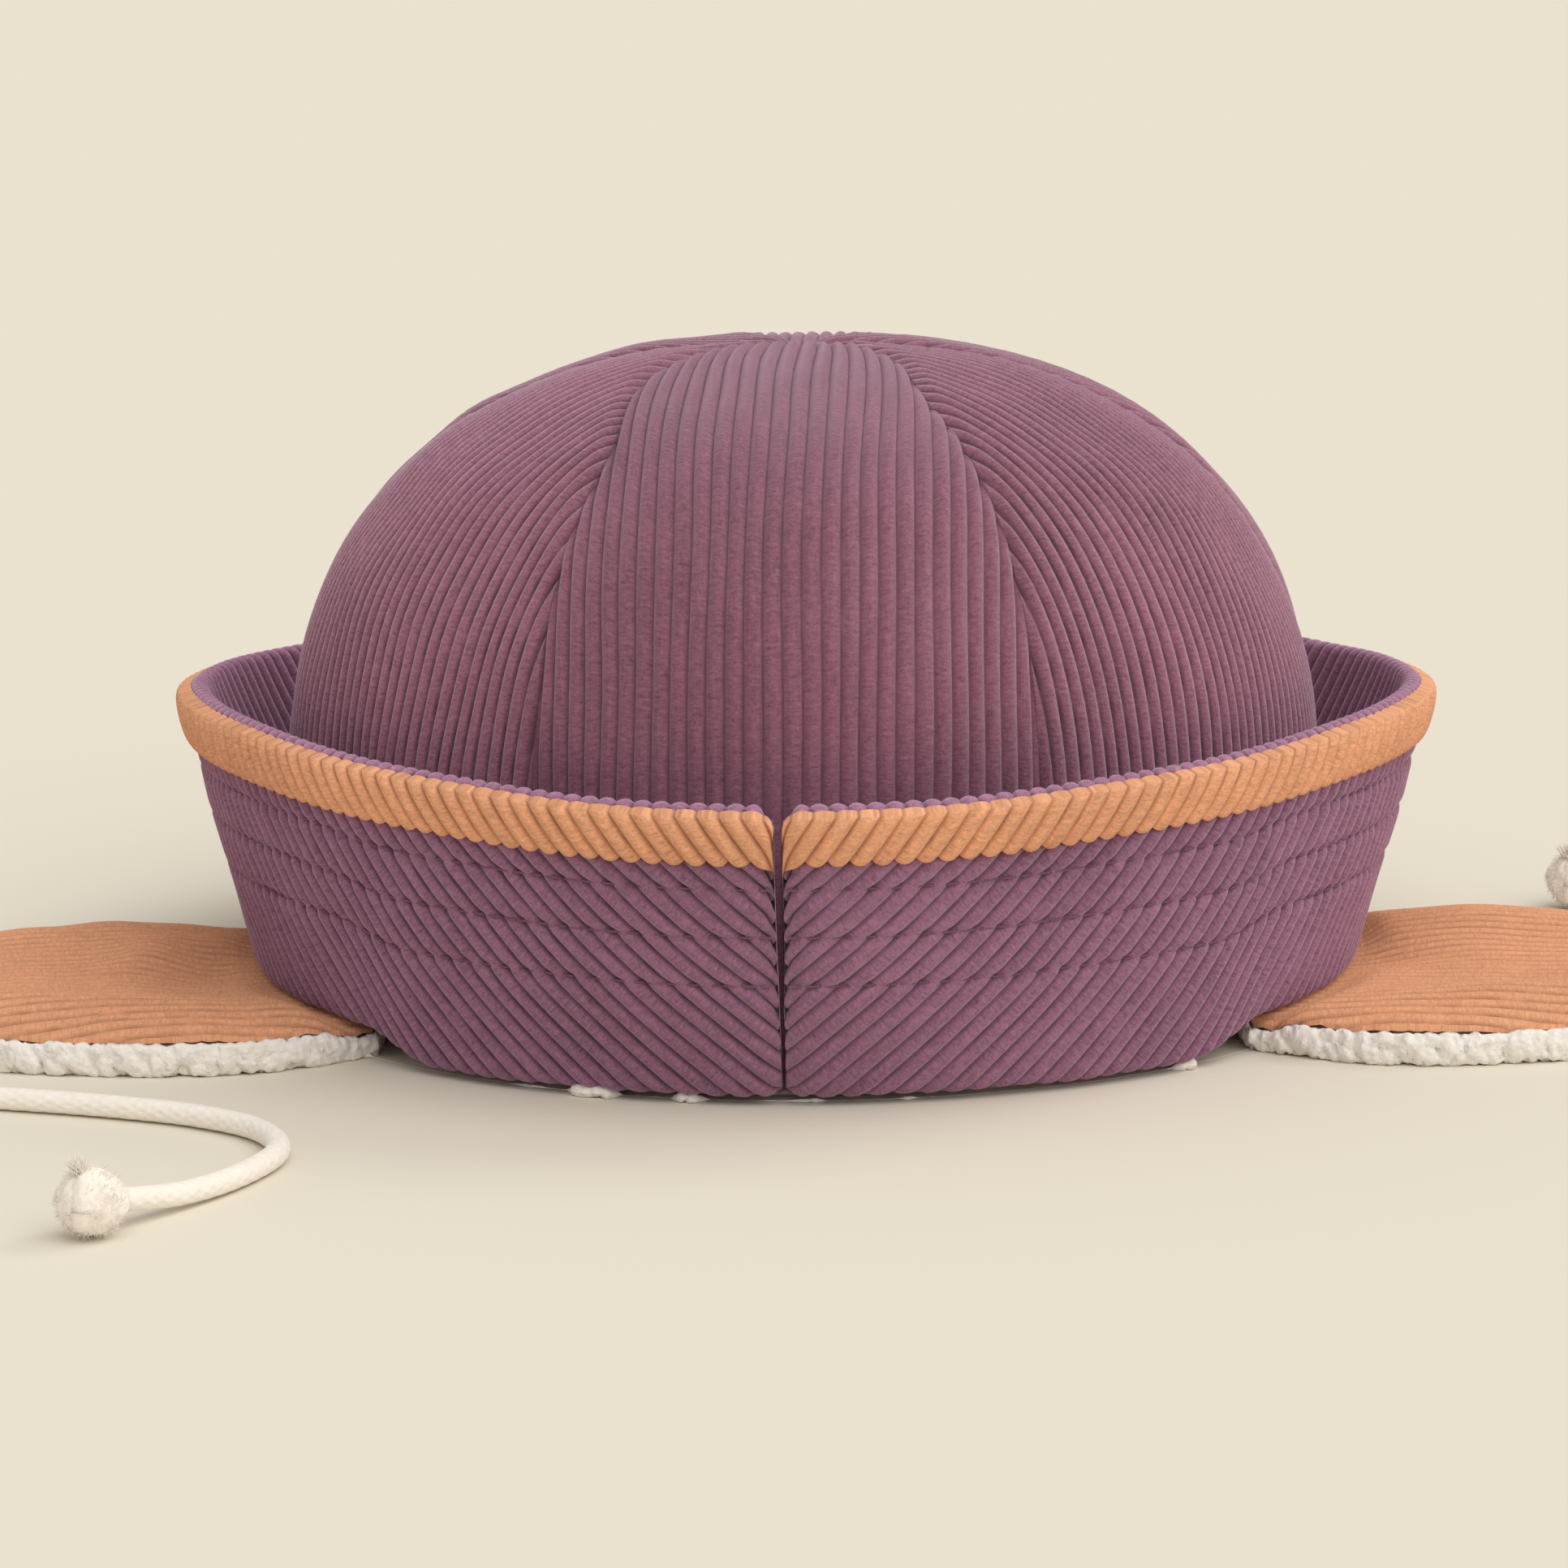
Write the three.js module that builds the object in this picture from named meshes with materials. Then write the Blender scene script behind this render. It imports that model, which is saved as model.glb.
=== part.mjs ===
// A winter hat sewn from corduroy and lined with sherpa, lying on a table as it rests by itself.
// Six panels make the crown over a sherpa lining. A wide brim in two halves is turned up around it,
// each half with a band of the second colour along its free edge. Two ear flaps lie spread out from
// under the hem, and each ends in a cotton cord with a knot.
// Millimetres and degrees, +Z up. The table is z = 0 and the crown stands on the Z axis. The front
// faces -Y, and left is -X. An azimuth is turned from the front towards +X.

import * as THREE from "three";

// Cloth and clearances
const GAP = 0.3; // between pieces that are sewn together or lie on each other
const PANEL_WALL = 2.2; // corduroy of a crown panel, with its backing
const SHERPA = 5; // pile and backing of the crown's lining

// Crown
const FULL_TURN = 360;
const HALF_TURN = FULL_TURN / 2;
const CROWN_RADIUS = 94; // outside, at the middle of a panel, where the crown is widest
const HEM_TAPER = 2.5; // how far the hem lies inside that at the front and back
const HEM_RADIUS = CROWN_RADIUS - HEM_TAPER; // outside, at the level of the table
const HEM_SPREAD = 4.2; // how much wider the hem is over the flaps
const CROWN_HEIGHT = 117; // from the table to the top
const WIDEST_HEIGHT = 39; // from the table to where the crown is widest
const SEAM_DIP = 3; // how far the seams lie inside the middles of the panels
const SIDE_FULLNESS = 2.37; // exponent of the dome's super-ellipse towards the sides
const FRONT_FULLNESS = 2.85; // the same towards the front, which is squarer
const BACK_FULLNESS = 2.5; // the same towards the back
const FRONT_SEAM_AZIMUTH = 28; // of the seams beside the front panel
const SIDE_SEAM_AZIMUTH = 90; // of the seams at the sides
const BACK_SEAM_AZIMUTH = 150; // of the seams beside the back panel
const TIP_RADIUS = 0.9; // where the tips of the panels stop around the axis

// Brim
const BRIM_WALL = 3.9; // two layers of corduroy and a stiffener
const FOLD_HEIGHT = 1.5; // from the table to the fold at the front and back
const RIM_FLARE = 18; // how far the free edge stands outside the crown
const RIM_RADIUS = CROWN_RADIUS + RIM_FLARE; // outside, at the free edge
const RIM_HEIGHT = 54; // from the table to the free edge
const BRIM_BOW = 0.8; // how far the wall bows outward between the fold and the free edge
const HALVES_GAP = 0.8; // between the two halves at the front and back
const BAND_WIDTH = 9; // of the coloured band along the free edge
const BAND_WALL = 2.4;
const BAND_PROUD = 1.2; // how far the band stands out of the brim
const BAND_SETBACK = 0.7; // from the free edge down to the band
const BAND_CORNER = 1.6; // how much lower the band's corners are at its ends
const BAND_CORNER_WIDTH = 3.2; // along the band, over which it comes down

// Ear flaps
const FLAP_WIDTH = 92;
const FLAP_TIP = 182; // from the crown's axis to the tips, along X
const FLAP_TUCK = 14; // how far a flap runs in under the hem
const FLAP_WALL = 1.8; // corduroy
const FLAP_SHERPA = 5.2; // lining at rest beside the hat
const PRESSED_SHERPA = 3.9; // lining under the weight of the crown
const FLAP_UNDERCUT = 2.4; // how far the lining's foot lies inside its top edge
const NARROWEST_FOOT = 0.5; // least share of the width that the foot keeps at the tip
const FLAP_ROLL = 0.9; // how much lower the cloth is at its edge
const ROLL_POWER = 6; // how late it turns down on the way from the middle to the edge
const PRESS_REACH = 12; // from the fold out to where a flap has its full thickness
const LIFT_MARGIN_TURN = 1.5; // degrees beside a flap over which the hem stays lifted
const LIFT_FADE_TURN = 6; // degrees beside that over which it comes down to the table

// Cords
const CORD_DIAMETER = 3.8;
const KNOT_DIAMETER = 11.5;
const KNOT_LOBES = 0.05; // share of the knot's radius that its turns stand out
const KNOT_TURNS = 3; // lobes along the knot
const KNOT_TWIST = 2; // lobes across it

// Facets
const PANEL_COLUMNS = 8;
const WALL_ROWS = 3; // of a panel, from the hem to where it is widest
const DOME_ROWS = 10; // from there to the top
const LAST_ROW = WALL_ROWS + DOME_ROWS;
const FLAP_ROWS = 14;
const FLAP_COLUMNS = 8;
const FLAP_CROWDING = 1.1; // how much closer together the rows lie at the tip and the inner end
const KNOT_COLUMNS = 14;
const KNOT_ROWS = 9;
const CORD_SIDES = 8;
const CORD_STEPS = 30;
const ROUND_STEPS = 4; // across the fold
const COVER_STEPS = 240; // azimuths tried for where a flap lies under the hem
const SLOPE_STEP = 0.01; // share of the dome over which its slope is taken
const THINNEST_FACE = 1e-7; // area under which a face is only a line

const SEAMS = [
  { from: -FRONT_SEAM_AZIMUTH, to: FRONT_SEAM_AZIMUTH, name: "crown_panel_front" },
  { from: FRONT_SEAM_AZIMUTH, to: SIDE_SEAM_AZIMUTH, name: "crown_panel_front_right" },
  { from: SIDE_SEAM_AZIMUTH, to: BACK_SEAM_AZIMUTH, name: "crown_panel_back_right" },
  { from: BACK_SEAM_AZIMUTH, to: FULL_TURN - BACK_SEAM_AZIMUTH, name: "crown_panel_back" },
  { from: FULL_TURN - BACK_SEAM_AZIMUTH, to: FULL_TURN - SIDE_SEAM_AZIMUTH, name: "crown_panel_back_left" },
  { from: FULL_TURN - SIDE_SEAM_AZIMUTH, to: FULL_TURN - FRONT_SEAM_AZIMUTH, name: "crown_panel_front_left" },
];

// Soft dents of the crown. up is the share of the dome's quarter turn, wide and tall are the
// half-widths in degrees of azimuth and as a share, deep is a share of SEAM_DIP.
const DENTS = [
  { azimuth: 52, up: 0.62, wide: 13, tall: 0.13, deep: 0.7 },
  { azimuth: -54, up: 0.66, wide: 12, tall: 0.12, deep: 0.5 },
  { azimuth: 76, up: 0.35, wide: 12, tall: 0.15, deep: 0.35 },
  { azimuth: -36, up: 0.3, wide: 7, tall: 0.25, deep: 0.5 },
  { azimuth: 36, up: 0.26, wide: 7, tall: 0.2, deep: 0.4 },
];

// The brim's free edge by azimuth, the same on both sides: shares of RIM_RADIUS and RIM_HEIGHT.
const RIM = [
  { azimuth: 0, radius: 1.02, height: 0.968 },
  { azimuth: 15, radius: 1.01, height: 0.975 },
  { azimuth: 30, radius: 0.985, height: 1.0 },
  { azimuth: 45, radius: 0.97, height: 1.018 },
  { azimuth: 60, radius: 0.967, height: 1.037 },
  { azimuth: 75, radius: 0.98, height: 1.035 },
  { azimuth: 90, radius: 1.002, height: 1.02 },
  { azimuth: 105, radius: 1.005, height: 1.003 },
  { azimuth: 120, radius: 1.0, height: 0.982 },
  { azimuth: 150, radius: 1.0, height: 0.97 },
  { azimuth: 180, radius: 1.02, height: 0.968 },
];

// Where each flap leaves the hem and which way it points, as an angle from its side's X axis
// towards the back.
const FLAPS = [
  { side: -1, name: "left", azimuth: -71, heading: 0 },
  { side: 1, name: "right", azimuth: 76, heading: 8 },
];

// Half the flap's width along its length: shares of its length and of half of FLAP_WIDTH.
const FLAP_OUTLINE = [
  { along: 0, half: 0.66 },
  { along: 0.07, half: 0.81 },
  { along: 0.2, half: 0.97 },
  { along: 0.38, half: 1.0 },
  { along: 0.57, half: 0.93 },
  { along: 0.7, half: 0.81 },
  { along: 0.82, half: 0.63 },
  { along: 0.92, half: 0.4 },
  { along: 0.975, half: 0.22 },
  { along: 1, half: 0.1 },
];

// Swells and hollows of a flap: along and across as shares, across 1 at the edge that faces the
// front, long and wide are half-widths, rise is a share of FLAP_SHERPA. side 0 is on both.
const FLAP_RELIEF = [
  { side: -1, along: 0.37, across: -0.65, long: 0.2, wide: 0.4, rise: 0.85 },
  { side: 1, along: 0.5, across: -0.6, long: 0.22, wide: 0.4, rise: 0.55 },
  { side: 0, along: 0.27, across: -0.2, long: 0.08, wide: 0.3, rise: -0.3 },
  { side: -1, along: 0.5, across: 0.7, long: 0.16, wide: 0.3, rise: 0.22 },
  { side: 1, along: 0.6, across: 0.6, long: 0.14, wide: 0.35, rise: 0.26 },
];

// The routes of the cords along their middle, from the flap's tip to the knot, chosen by hand.
const CORD_LEFT = [
  [-182.5, -29.8, 4.0],
  [-187.5, -30.3, 3.4],
  [-192.5, -38, 2.5],
  [-194, -56, 2.1],
  [-185, -78, 2.1],
  [-163, -93, 2.1],
  [-130, -100, 2.1],
  [-109, -106, 2.1],
  [-95, -112, 2.1],
  [-84, -121, 2.1],
  [-79, -134, 2.1],
  [-83, -150, 2.1],
  [-90, -163, 2.6],
  [-98, -175, 4.6],
];
const CORD_RIGHT = [
  [182.5, -7.6, 4.0],
  [187.5, -6.9, 3.4],
  [199, -4, 2.3],
  [216, 8, 2.1],
  [232, 32, 2.1],
  [235, 64, 2.1],
  [220, 94, 2.1],
  [192, 106, 2.1],
  [168, 97, 2.1],
  [156.5, 77.5, 2.6],
  [149.5, 69, 4.6],
];

const PURPLE = new THREE.MeshStandardMaterial({ color: 0x8a6072, roughness: 0.95, metalness: 0 });
const APRICOT = new THREE.MeshStandardMaterial({ color: 0xd39c74, roughness: 0.95, metalness: 0 });
const WOOL_WHITE = new THREE.MeshStandardMaterial({ color: 0xe8ded2, roughness: 1, metalness: 0 });
const COTTON = new THREE.MeshStandardMaterial({ color: 0xece0d0, roughness: 0.9, metalness: 0 });

const radians = THREE.MathUtils.degToRad;
const lerp = THREE.MathUtils.lerp;

// A smooth curve through the rows of a table, flat at both ends.
function tableAt(rows, input, output, x) {
  const last = rows.length - 1;
  const k = Math.max(0, Math.min(last - 1, rows.findLastIndex((row) => row[input] <= x)));
  const slope = (i) => {
    if (i <= 0 || i >= last) return 0;
    return (rows[i + 1][output] - rows[i - 1][output]) / (rows[i + 1][input] - rows[i - 1][input]);
  };
  const span = rows[k + 1][input] - rows[k][input];
  const t = THREE.MathUtils.clamp((x - rows[k][input]) / span, 0, 1);
  const bend = t * t * (3 - 2 * t);
  return (
    lerp(rows[k][output], rows[k + 1][output], bend) +
    span * (slope(k) * t * (1 - t) ** 2 - slope(k + 1) * t * t * (1 - t))
  );
}

const bell = (x, width) => Math.exp(-((x / width) ** 2));

// The shortest turn from one azimuth to another.
function turn(from, to) {
  return THREE.MathUtils.euclideanModulo(to - from + HALF_TURN, FULL_TURN) - HALF_TURN;
}

// The point at a radius, azimuth and height.
function polar(radius, azimuth, z) {
  const a = radians(azimuth);
  return new THREE.Vector3(radius * Math.sin(a), -radius * Math.cos(a), z);
}

// Share of the way from a panel's middle to its seam, 0 to 1.
function towardsSeam(azimuth) {
  const panel = SEAMS.find((p) => {
    const middle = (p.from + p.to) / 2;
    return Math.abs(turn(middle, azimuth)) <= (p.to - p.from) / 2 + 1e-9;
  });
  return Math.abs(turn((panel.from + panel.to) / 2, azimuth)) / ((panel.to - panel.from) / 2);
}

// How far the crown is in from its full roundness, for seams and dents. fade is 0 at the hem.
function crownInset(azimuth, up, fade) {
  const dents = DENTS.map((d) => d.deep * bell(turn(d.azimuth, azimuth), d.wide) * bell(up - d.up, d.tall));
  return SEAM_DIP * fade * (towardsSeam(azimuth) ** 2 + dents.reduce((a, b) => a + b, 0));
}

// Outer radius of the hem at the level of the table.
const hemRadius = (azimuth) => HEM_RADIUS + HEM_SPREAD * Math.sin(radians(azimuth)) ** 2;

// Outer radius of the crown's upright part at a height above the table.
function wallRadius(azimuth, z) {
  const fade = Math.sin((Math.PI / 2) * Math.min(1, z / WIDEST_HEIGHT));
  return lerp(hemRadius(azimuth), CROWN_RADIUS, fade) - crownInset(azimuth, 0, fade);
}

// Outer radius and height of the dome at a share of its quarter turn.
function dome(azimuth, up) {
  const ahead = Math.cos(radians(azimuth));
  const full = lerp(SIDE_FULLNESS, ahead > 0 ? FRONT_FULLNESS : BACK_FULLNESS, ahead ** 2);
  const angle = (Math.PI / 2) * up;
  const level = Math.cos(angle) ** (2 / full);
  return {
    radius: Math.max(0, (CROWN_RADIUS - crownInset(azimuth, up, 1)) * (up < 1 ? level : 0)),
    z: WIDEST_HEIGHT + (CROWN_HEIGHT - WIDEST_HEIGHT) * Math.sin(angle) ** (2 / full),
  };
}

// A flap's own frame: where its inner end lies, along it and across it towards the front.
function flapFrame(flap) {
  const hem = polar(HEM_RADIUS, flap.azimuth, 0);
  const h = radians(flap.heading);
  const along = new THREE.Vector3(flap.side * Math.cos(h), Math.sin(h), 0);
  const across = new THREE.Vector3(flap.side * Math.sin(h), -Math.cos(h), 0);
  const start = hem.clone().addScaledVector(along, -FLAP_TUCK);
  const length = (FLAP_TIP - flap.side * start.x) / Math.cos(h);
  return { start, along, across, length };
}

// Half the width of a flap at a share of its length.
const flapHalf = (share) => (FLAP_WIDTH / 2) * tableAt(FLAP_OUTLINE, "along", "half", share);

// The azimuths between which a flap lies under the lining, the panels or the brim's fold.
function flapCover(flap) {
  const frame = flapFrame(flap);
  const inside = (radius, azimuth) => {
    const place = polar(radius, azimuth, 0).sub(frame.start);
    const share = place.dot(frame.along) / frame.length;
    return share >= 0 && share <= 1 && Math.abs(place.dot(frame.across)) <= flapHalf(share);
  };
  const radii = [HEM_RADIUS - PANEL_WALL - SHERPA, HEM_RADIUS, HEM_RADIUS + HEM_SPREAD + BRIM_WALL];
  const turns = Array.from({ length: COVER_STEPS }, (_, k) => (k / COVER_STEPS - 0.5) * HALF_TURN);
  const covered = turns.filter((t) => radii.some((radius) => inside(radius, flap.azimuth + t)));
  const [first, last] = [covered[0], covered.at(-1)];
  return { middle: flap.azimuth + (first + last) / 2, half: (last - first) / 2 };
}

const COVERS = FLAPS.map(flapCover);

// How much a flap under the hem lifts it at an azimuth, 0 to 1.
function overFlap(azimuth) {
  const beside = COVERS.map((cover) => Math.abs(turn(cover.middle, azimuth)) - cover.half - LIFT_MARGIN_TURN);
  return 1 - THREE.MathUtils.smoothstep(Math.min(...beside), 0, LIFT_FADE_TURN);
}

const PRESSED_TOP = PRESSED_SHERPA + GAP + FLAP_WALL;
const liningHem = (azimuth) => (PRESSED_TOP + GAP) * overFlap(azimuth);
const foldHeight = (azimuth) => liningHem(azimuth) + lerp(FOLD_HEIGHT, GAP, overFlap(azimuth));

// A row of the crown's surface, in by a depth: rows run from the hem to the top.
function crownPoint(azimuth, row, hem, depth) {
  if (row <= WALL_ROWS) {
    const z = lerp(hem, WIDEST_HEIGHT, row / WALL_ROWS);
    return polar(wallRadius(azimuth, z) - depth, azimuth, z);
  }
  const up = (row - WALL_ROWS) / DOME_ROWS;
  const at = dome(azimuth, up);
  const before = dome(azimuth, up - SLOPE_STEP);
  const after = dome(azimuth, Math.min(1, up + SLOPE_STEP));
  const dr = after.radius - before.radius;
  const dz = after.z - before.z;
  const long = Math.hypot(dr, dz);
  const inward = row === LAST_ROW ? { r: 0, z: 1 } : { r: dz / long, z: -dr / long };
  return polar(Math.max(0, at.radius - depth * inward.r), azimuth, at.z - depth * inward.z);
}

// A closed solid from a list of triangles and quads, without those that shrink to a line.
function solid(name, material, faces) {
  const positions = [];
  const push = (a, b, c) => {
    const area = new THREE.Triangle(a, b, c).getArea();
    if (area > THINNEST_FACE) positions.push(...a.toArray(), ...b.toArray(), ...c.toArray());
  };
  faces.forEach(([a, b, c, d]) => {
    push(a, b, c);
    if (d) push(a, c, d);
  });
  const geometry = new THREE.BufferGeometry();
  geometry.setAttribute("position", new THREE.Float32BufferAttribute(positions, 3));
  geometry.computeVertexNormals();
  const mesh = new THREE.Mesh(geometry, material);
  mesh.name = name;
  return mesh;
}

// The faces between an outer and an inner grid of points, closed round their edges. Columns run
// to the right and rows run up, seen from outside. A ring's last column meets its first.
function shellFaces(outer, inner, ring) {
  const faces = [];
  const top = outer.length - 1;
  const columns = outer[0].length - (ring ? 0 : 1);
  const next = (j) => (j + 1) % outer[0].length;
  for (let i = 0; i < top; i++) {
    for (let j = 0; j < columns; j++) {
      faces.push([outer[i][j], outer[i][next(j)], outer[i + 1][next(j)], outer[i + 1][j]]);
      faces.push([inner[i][j], inner[i + 1][j], inner[i + 1][next(j)], inner[i][next(j)]]);
    }
    if (!ring) {
      faces.push([outer[i][0], outer[i + 1][0], inner[i + 1][0], inner[i][0]]);
      faces.push([outer[i + 1][columns], outer[i][columns], inner[i][columns], inner[i + 1][columns]]);
    }
  }
  for (let j = 0; j < columns; j++) {
    faces.push([outer[0][next(j)], outer[0][j], inner[0][j], inner[0][next(j)]]);
    faces.push([outer[top][j], outer[top][next(j)], inner[top][next(j)], inner[top][j]]);
  }
  return faces;
}

// A solid through a row of like sections, each a loop of points, with flat ends. flat is the
// first section in two dimensions, which says how the ends are filled.
function loft(name, material, sections, flat) {
  const faces = [];
  const corners = sections[0].length;
  sections.slice(1).forEach((section, k) => {
    for (let j = 0; j < corners; j++) {
      const n = (j + 1) % corners;
      faces.push([sections[k][j], section[j], section[n], sections[k][n]]);
    }
  });
  THREE.ShapeUtils.triangulateShape(flat, []).forEach(([a, b, c]) => {
    faces.push([sections[0][a], sections[0][b], sections[0][c]]);
    faces.push([sections.at(-1)[c], sections.at(-1)[b], sections.at(-1)[a]]);
  });
  return solid(name, material, faces);
}

// The azimuths of a panel's columns, with its two edges moved in from the seams by half a gap.
function panelAzimuths(panel, radius) {
  const trim = THREE.MathUtils.radToDeg(Math.asin(GAP / 2 / radius));
  return Array.from({ length: PANEL_COLUMNS + 1 }, (_, j) => {
    const edge = j === 0 ? trim : j === PANEL_COLUMNS ? -trim : 0;
    return lerp(panel.from, panel.to, j / PANEL_COLUMNS) + edge;
  });
}

// The share of the dome's quarter turn at which the panels' tips stop around the axis.
const TIP_SHARE = Math.acos((TIP_RADIUS / CROWN_RADIUS) ** (SIDE_FULLNESS / 2)) / (Math.PI / 2);

function crownPanel(panel) {
  const middle = (panel.from + panel.to) / 2;
  const rows = Array.from({ length: LAST_ROW + 1 }, (_, row) => row);
  rows[LAST_ROW] = WALL_ROWS + DOME_ROWS * TIP_SHARE;
  const grid = (depth) =>
    rows.map((row) => {
      const up = Math.max(0, (row - WALL_ROWS) / DOME_ROWS);
      const azimuths = panelAzimuths(panel, dome(middle, up).radius);
      return azimuths.map((azimuth) => crownPoint(azimuth, row, foldHeight(azimuth), depth));
    });
  return solid(panel.name, PURPLE, shellFaces(grid(0), grid(PANEL_WALL), false));
}

function crownLining() {
  const azimuths = SEAMS.flatMap((panel) =>
    Array.from({ length: PANEL_COLUMNS }, (_, j) => lerp(panel.from, panel.to, j / PANEL_COLUMNS)),
  );
  const grid = (depth) =>
    Array.from({ length: LAST_ROW + 1 }, (_, row) =>
      azimuths.map((azimuth) => crownPoint(azimuth, row, liningHem(azimuth), depth)),
    );
  const outside = PANEL_WALL + GAP;
  return solid("crown_lining", WOOL_WHITE, shellFaces(grid(outside), grid(outside + SHERPA), true));
}

// Where the brim's wall starts and ends at an azimuth, on its outside, and its slant between.
function brimWall(azimuth) {
  const around = Math.abs(turn(0, azimuth));
  const foldZ = foldHeight(azimuth);
  const foldR = wallRadius(azimuth, foldZ + BRIM_WALL) + GAP + BRIM_WALL;
  const rimR = RIM_RADIUS * tableAt(RIM, "azimuth", "radius", around);
  const rimZ = RIM_HEIGHT * tableAt(RIM, "azimuth", "height", around);
  const slant = Math.hypot(rimR - foldR, rimZ - foldZ);
  return { foldR, foldZ, slant, out: (rimR - foldR) / slant, rise: (rimZ - foldZ) / slant };
}

// The brim's section: up along the wall from the fold, and in from its outside.
function brimSection(slant) {
  const round = BRIM_WALL / 2;
  const ledge = BAND_WALL - BAND_PROUD + GAP;
  const bandFoot = slant - BAND_WIDTH - GAP;
  const lip = (BRIM_WALL - ledge) / 2;
  const fold = Array.from({ length: ROUND_STEPS + 1 }, (_, k) => {
    const a = (Math.PI * k) / ROUND_STEPS;
    return [round - round * Math.sin(a), round + round * Math.cos(a)];
  });
  return [
    ...fold,
    [bandFoot / 2, 0],
    [bandFoot, 0],
    [bandFoot, ledge],
    [slant - lip, ledge],
    [slant, ledge + lip],
    [slant - lip, BRIM_WALL],
    [bandFoot / 2, BRIM_WALL],
  ];
}

// The band's section in the same terms, with its top lowered by low.
function bandSection(slant, low) {
  const back = BAND_WALL - BAND_PROUD;
  const top = slant - BAND_SETBACK - low;
  const foot = slant - BAND_WIDTH;
  const bevel = BAND_WALL / 3;
  return [
    [foot, back],
    [foot, bevel - BAND_PROUD],
    [foot + bevel, -BAND_PROUD],
    [top - bevel, -BAND_PROUD],
    [top, bevel - BAND_PROUD],
    [top, back],
  ];
}

function brimSections(side, sectionAt) {
  const around = SEAMS.flatMap((panel) =>
    Array.from({ length: PANEL_COLUMNS }, (_, j) => lerp(panel.from, panel.to, j / PANEL_COLUMNS)),
  ).filter((azimuth) => azimuth > 0 && azimuth < HALF_TURN);
  const trim = THREE.MathUtils.radToDeg(HALVES_GAP / 2 / HEM_RADIUS);
  const corner = THREE.MathUtils.radToDeg(BAND_CORNER_WIDTH / RIM_RADIUS);
  const azimuths = [trim, trim + corner, ...around, HALF_TURN - trim - corner, HALF_TURN - trim];
  return azimuths.map((azimuth, k) => {
    const wall = brimWall(side * azimuth);
    const atEnd = k === 0 || k === azimuths.length - 1;
    const flat = sectionAt(wall.slant, atEnd ? BAND_CORNER : 0);
    const points = flat.map(([up, inward]) => {
      const depth = inward - BRIM_BOW * Math.sin((Math.PI * up) / wall.slant);
      return polar(
        wall.foldR + up * wall.out - depth * wall.rise,
        side * azimuth,
        wall.foldZ + up * wall.rise + depth * wall.out,
      );
    });
    return { flat: flat.map(([up, inward]) => new THREE.Vector2(inward, up)), points };
  });
}

function brimPiece(name, material, side, sectionAt) {
  const sections = brimSections(side, sectionAt);
  const ordered = side < 0 ? sections : sections.toReversed();
  const clockwise = THREE.ShapeUtils.isClockWise(ordered[0].flat);
  const facing = (list) => (clockwise ? list.toReversed() : list);
  return loft(
    name,
    material,
    ordered.map((section) => facing(section.points)),
    facing(ordered[0].flat),
  );
}

// The top of a flap's lining at a place on it.
function flapLevel(flap, place, along, across) {
  const azimuth = THREE.MathUtils.radToDeg(Math.atan2(place.x, -place.y));
  const out = Math.hypot(place.x, place.y) - hemRadius(azimuth) - BRIM_WALL - GAP;
  const free = THREE.MathUtils.smoothstep(out, 0, PRESS_REACH);
  const relief = FLAP_RELIEF.filter((row) => row.side === 0 || row.side === flap.side).map(
    (row) => row.rise * bell(along - row.along, row.long) * bell(across - row.across, row.wide),
  );
  const swell = 1 + relief.reduce((a, b) => a + b, 0);
  return lerp(PRESSED_SHERPA, FLAP_SHERPA * swell, free) - FLAP_ROLL * Math.abs(across) ** ROLL_POWER;
}

// A grid of points over a flap, set in from its edge, at a height above the table.
function flapGrid(flap, inset, heightAt) {
  const frame = flapFrame(flap);
  return Array.from({ length: FLAP_ROWS + 1 }, (_, i) => {
    const share = Math.sin((Math.PI / 2) * (i / FLAP_ROWS)) ** FLAP_CROWDING;
    const half = flapHalf(share);
    return Array.from({ length: FLAP_COLUMNS + 1 }, (_, j) => {
      const across = flap.side * ((2 * j) / FLAP_COLUMNS - 1);
      const place = frame.start
        .clone()
        .addScaledVector(frame.along, share * (frame.length - inset))
        .addScaledVector(frame.across, across * Math.max(half - inset, half * NARROWEST_FOOT));
      return place.setZ(heightAt(place, share, across));
    });
  });
}

function flapPieces(flap) {
  const level = (place, along, across) => flapLevel(flap, place, along, across);
  const liningTop = flapGrid(flap, 0, level);
  const liningFoot = flapGrid(flap, FLAP_UNDERCUT, () => 0);
  const clothFoot = flapGrid(flap, 0, (...at) => level(...at) + GAP);
  const clothTop = flapGrid(flap, 0, (...at) => level(...at) + GAP + FLAP_WALL);
  return [
    solid(`ear_flap_lining_${flap.name}`, WOOL_WHITE, shellFaces(liningTop, liningFoot, false)),
    solid(`ear_flap_${flap.name}`, APRICOT, shellFaces(clothTop, clothFoot, false)),
  ];
}

function cord(name, route) {
  const path = new THREE.CatmullRomCurve3(route.map((p) => new THREE.Vector3(...p)));
  const section = new THREE.Shape(
    Array.from({ length: CORD_SIDES }, (_, k) => {
      const a = (2 * Math.PI * (k + 0.5)) / CORD_SIDES;
      return new THREE.Vector2(Math.cos(a), Math.sin(a)).multiplyScalar(CORD_DIAMETER / 2);
    }),
  );
  const geometry = new THREE.ExtrudeGeometry(section, { steps: CORD_STEPS, extrudePath: path });
  const mesh = new THREE.Mesh(geometry, COTTON);
  mesh.name = name;
  return mesh;
}

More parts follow.
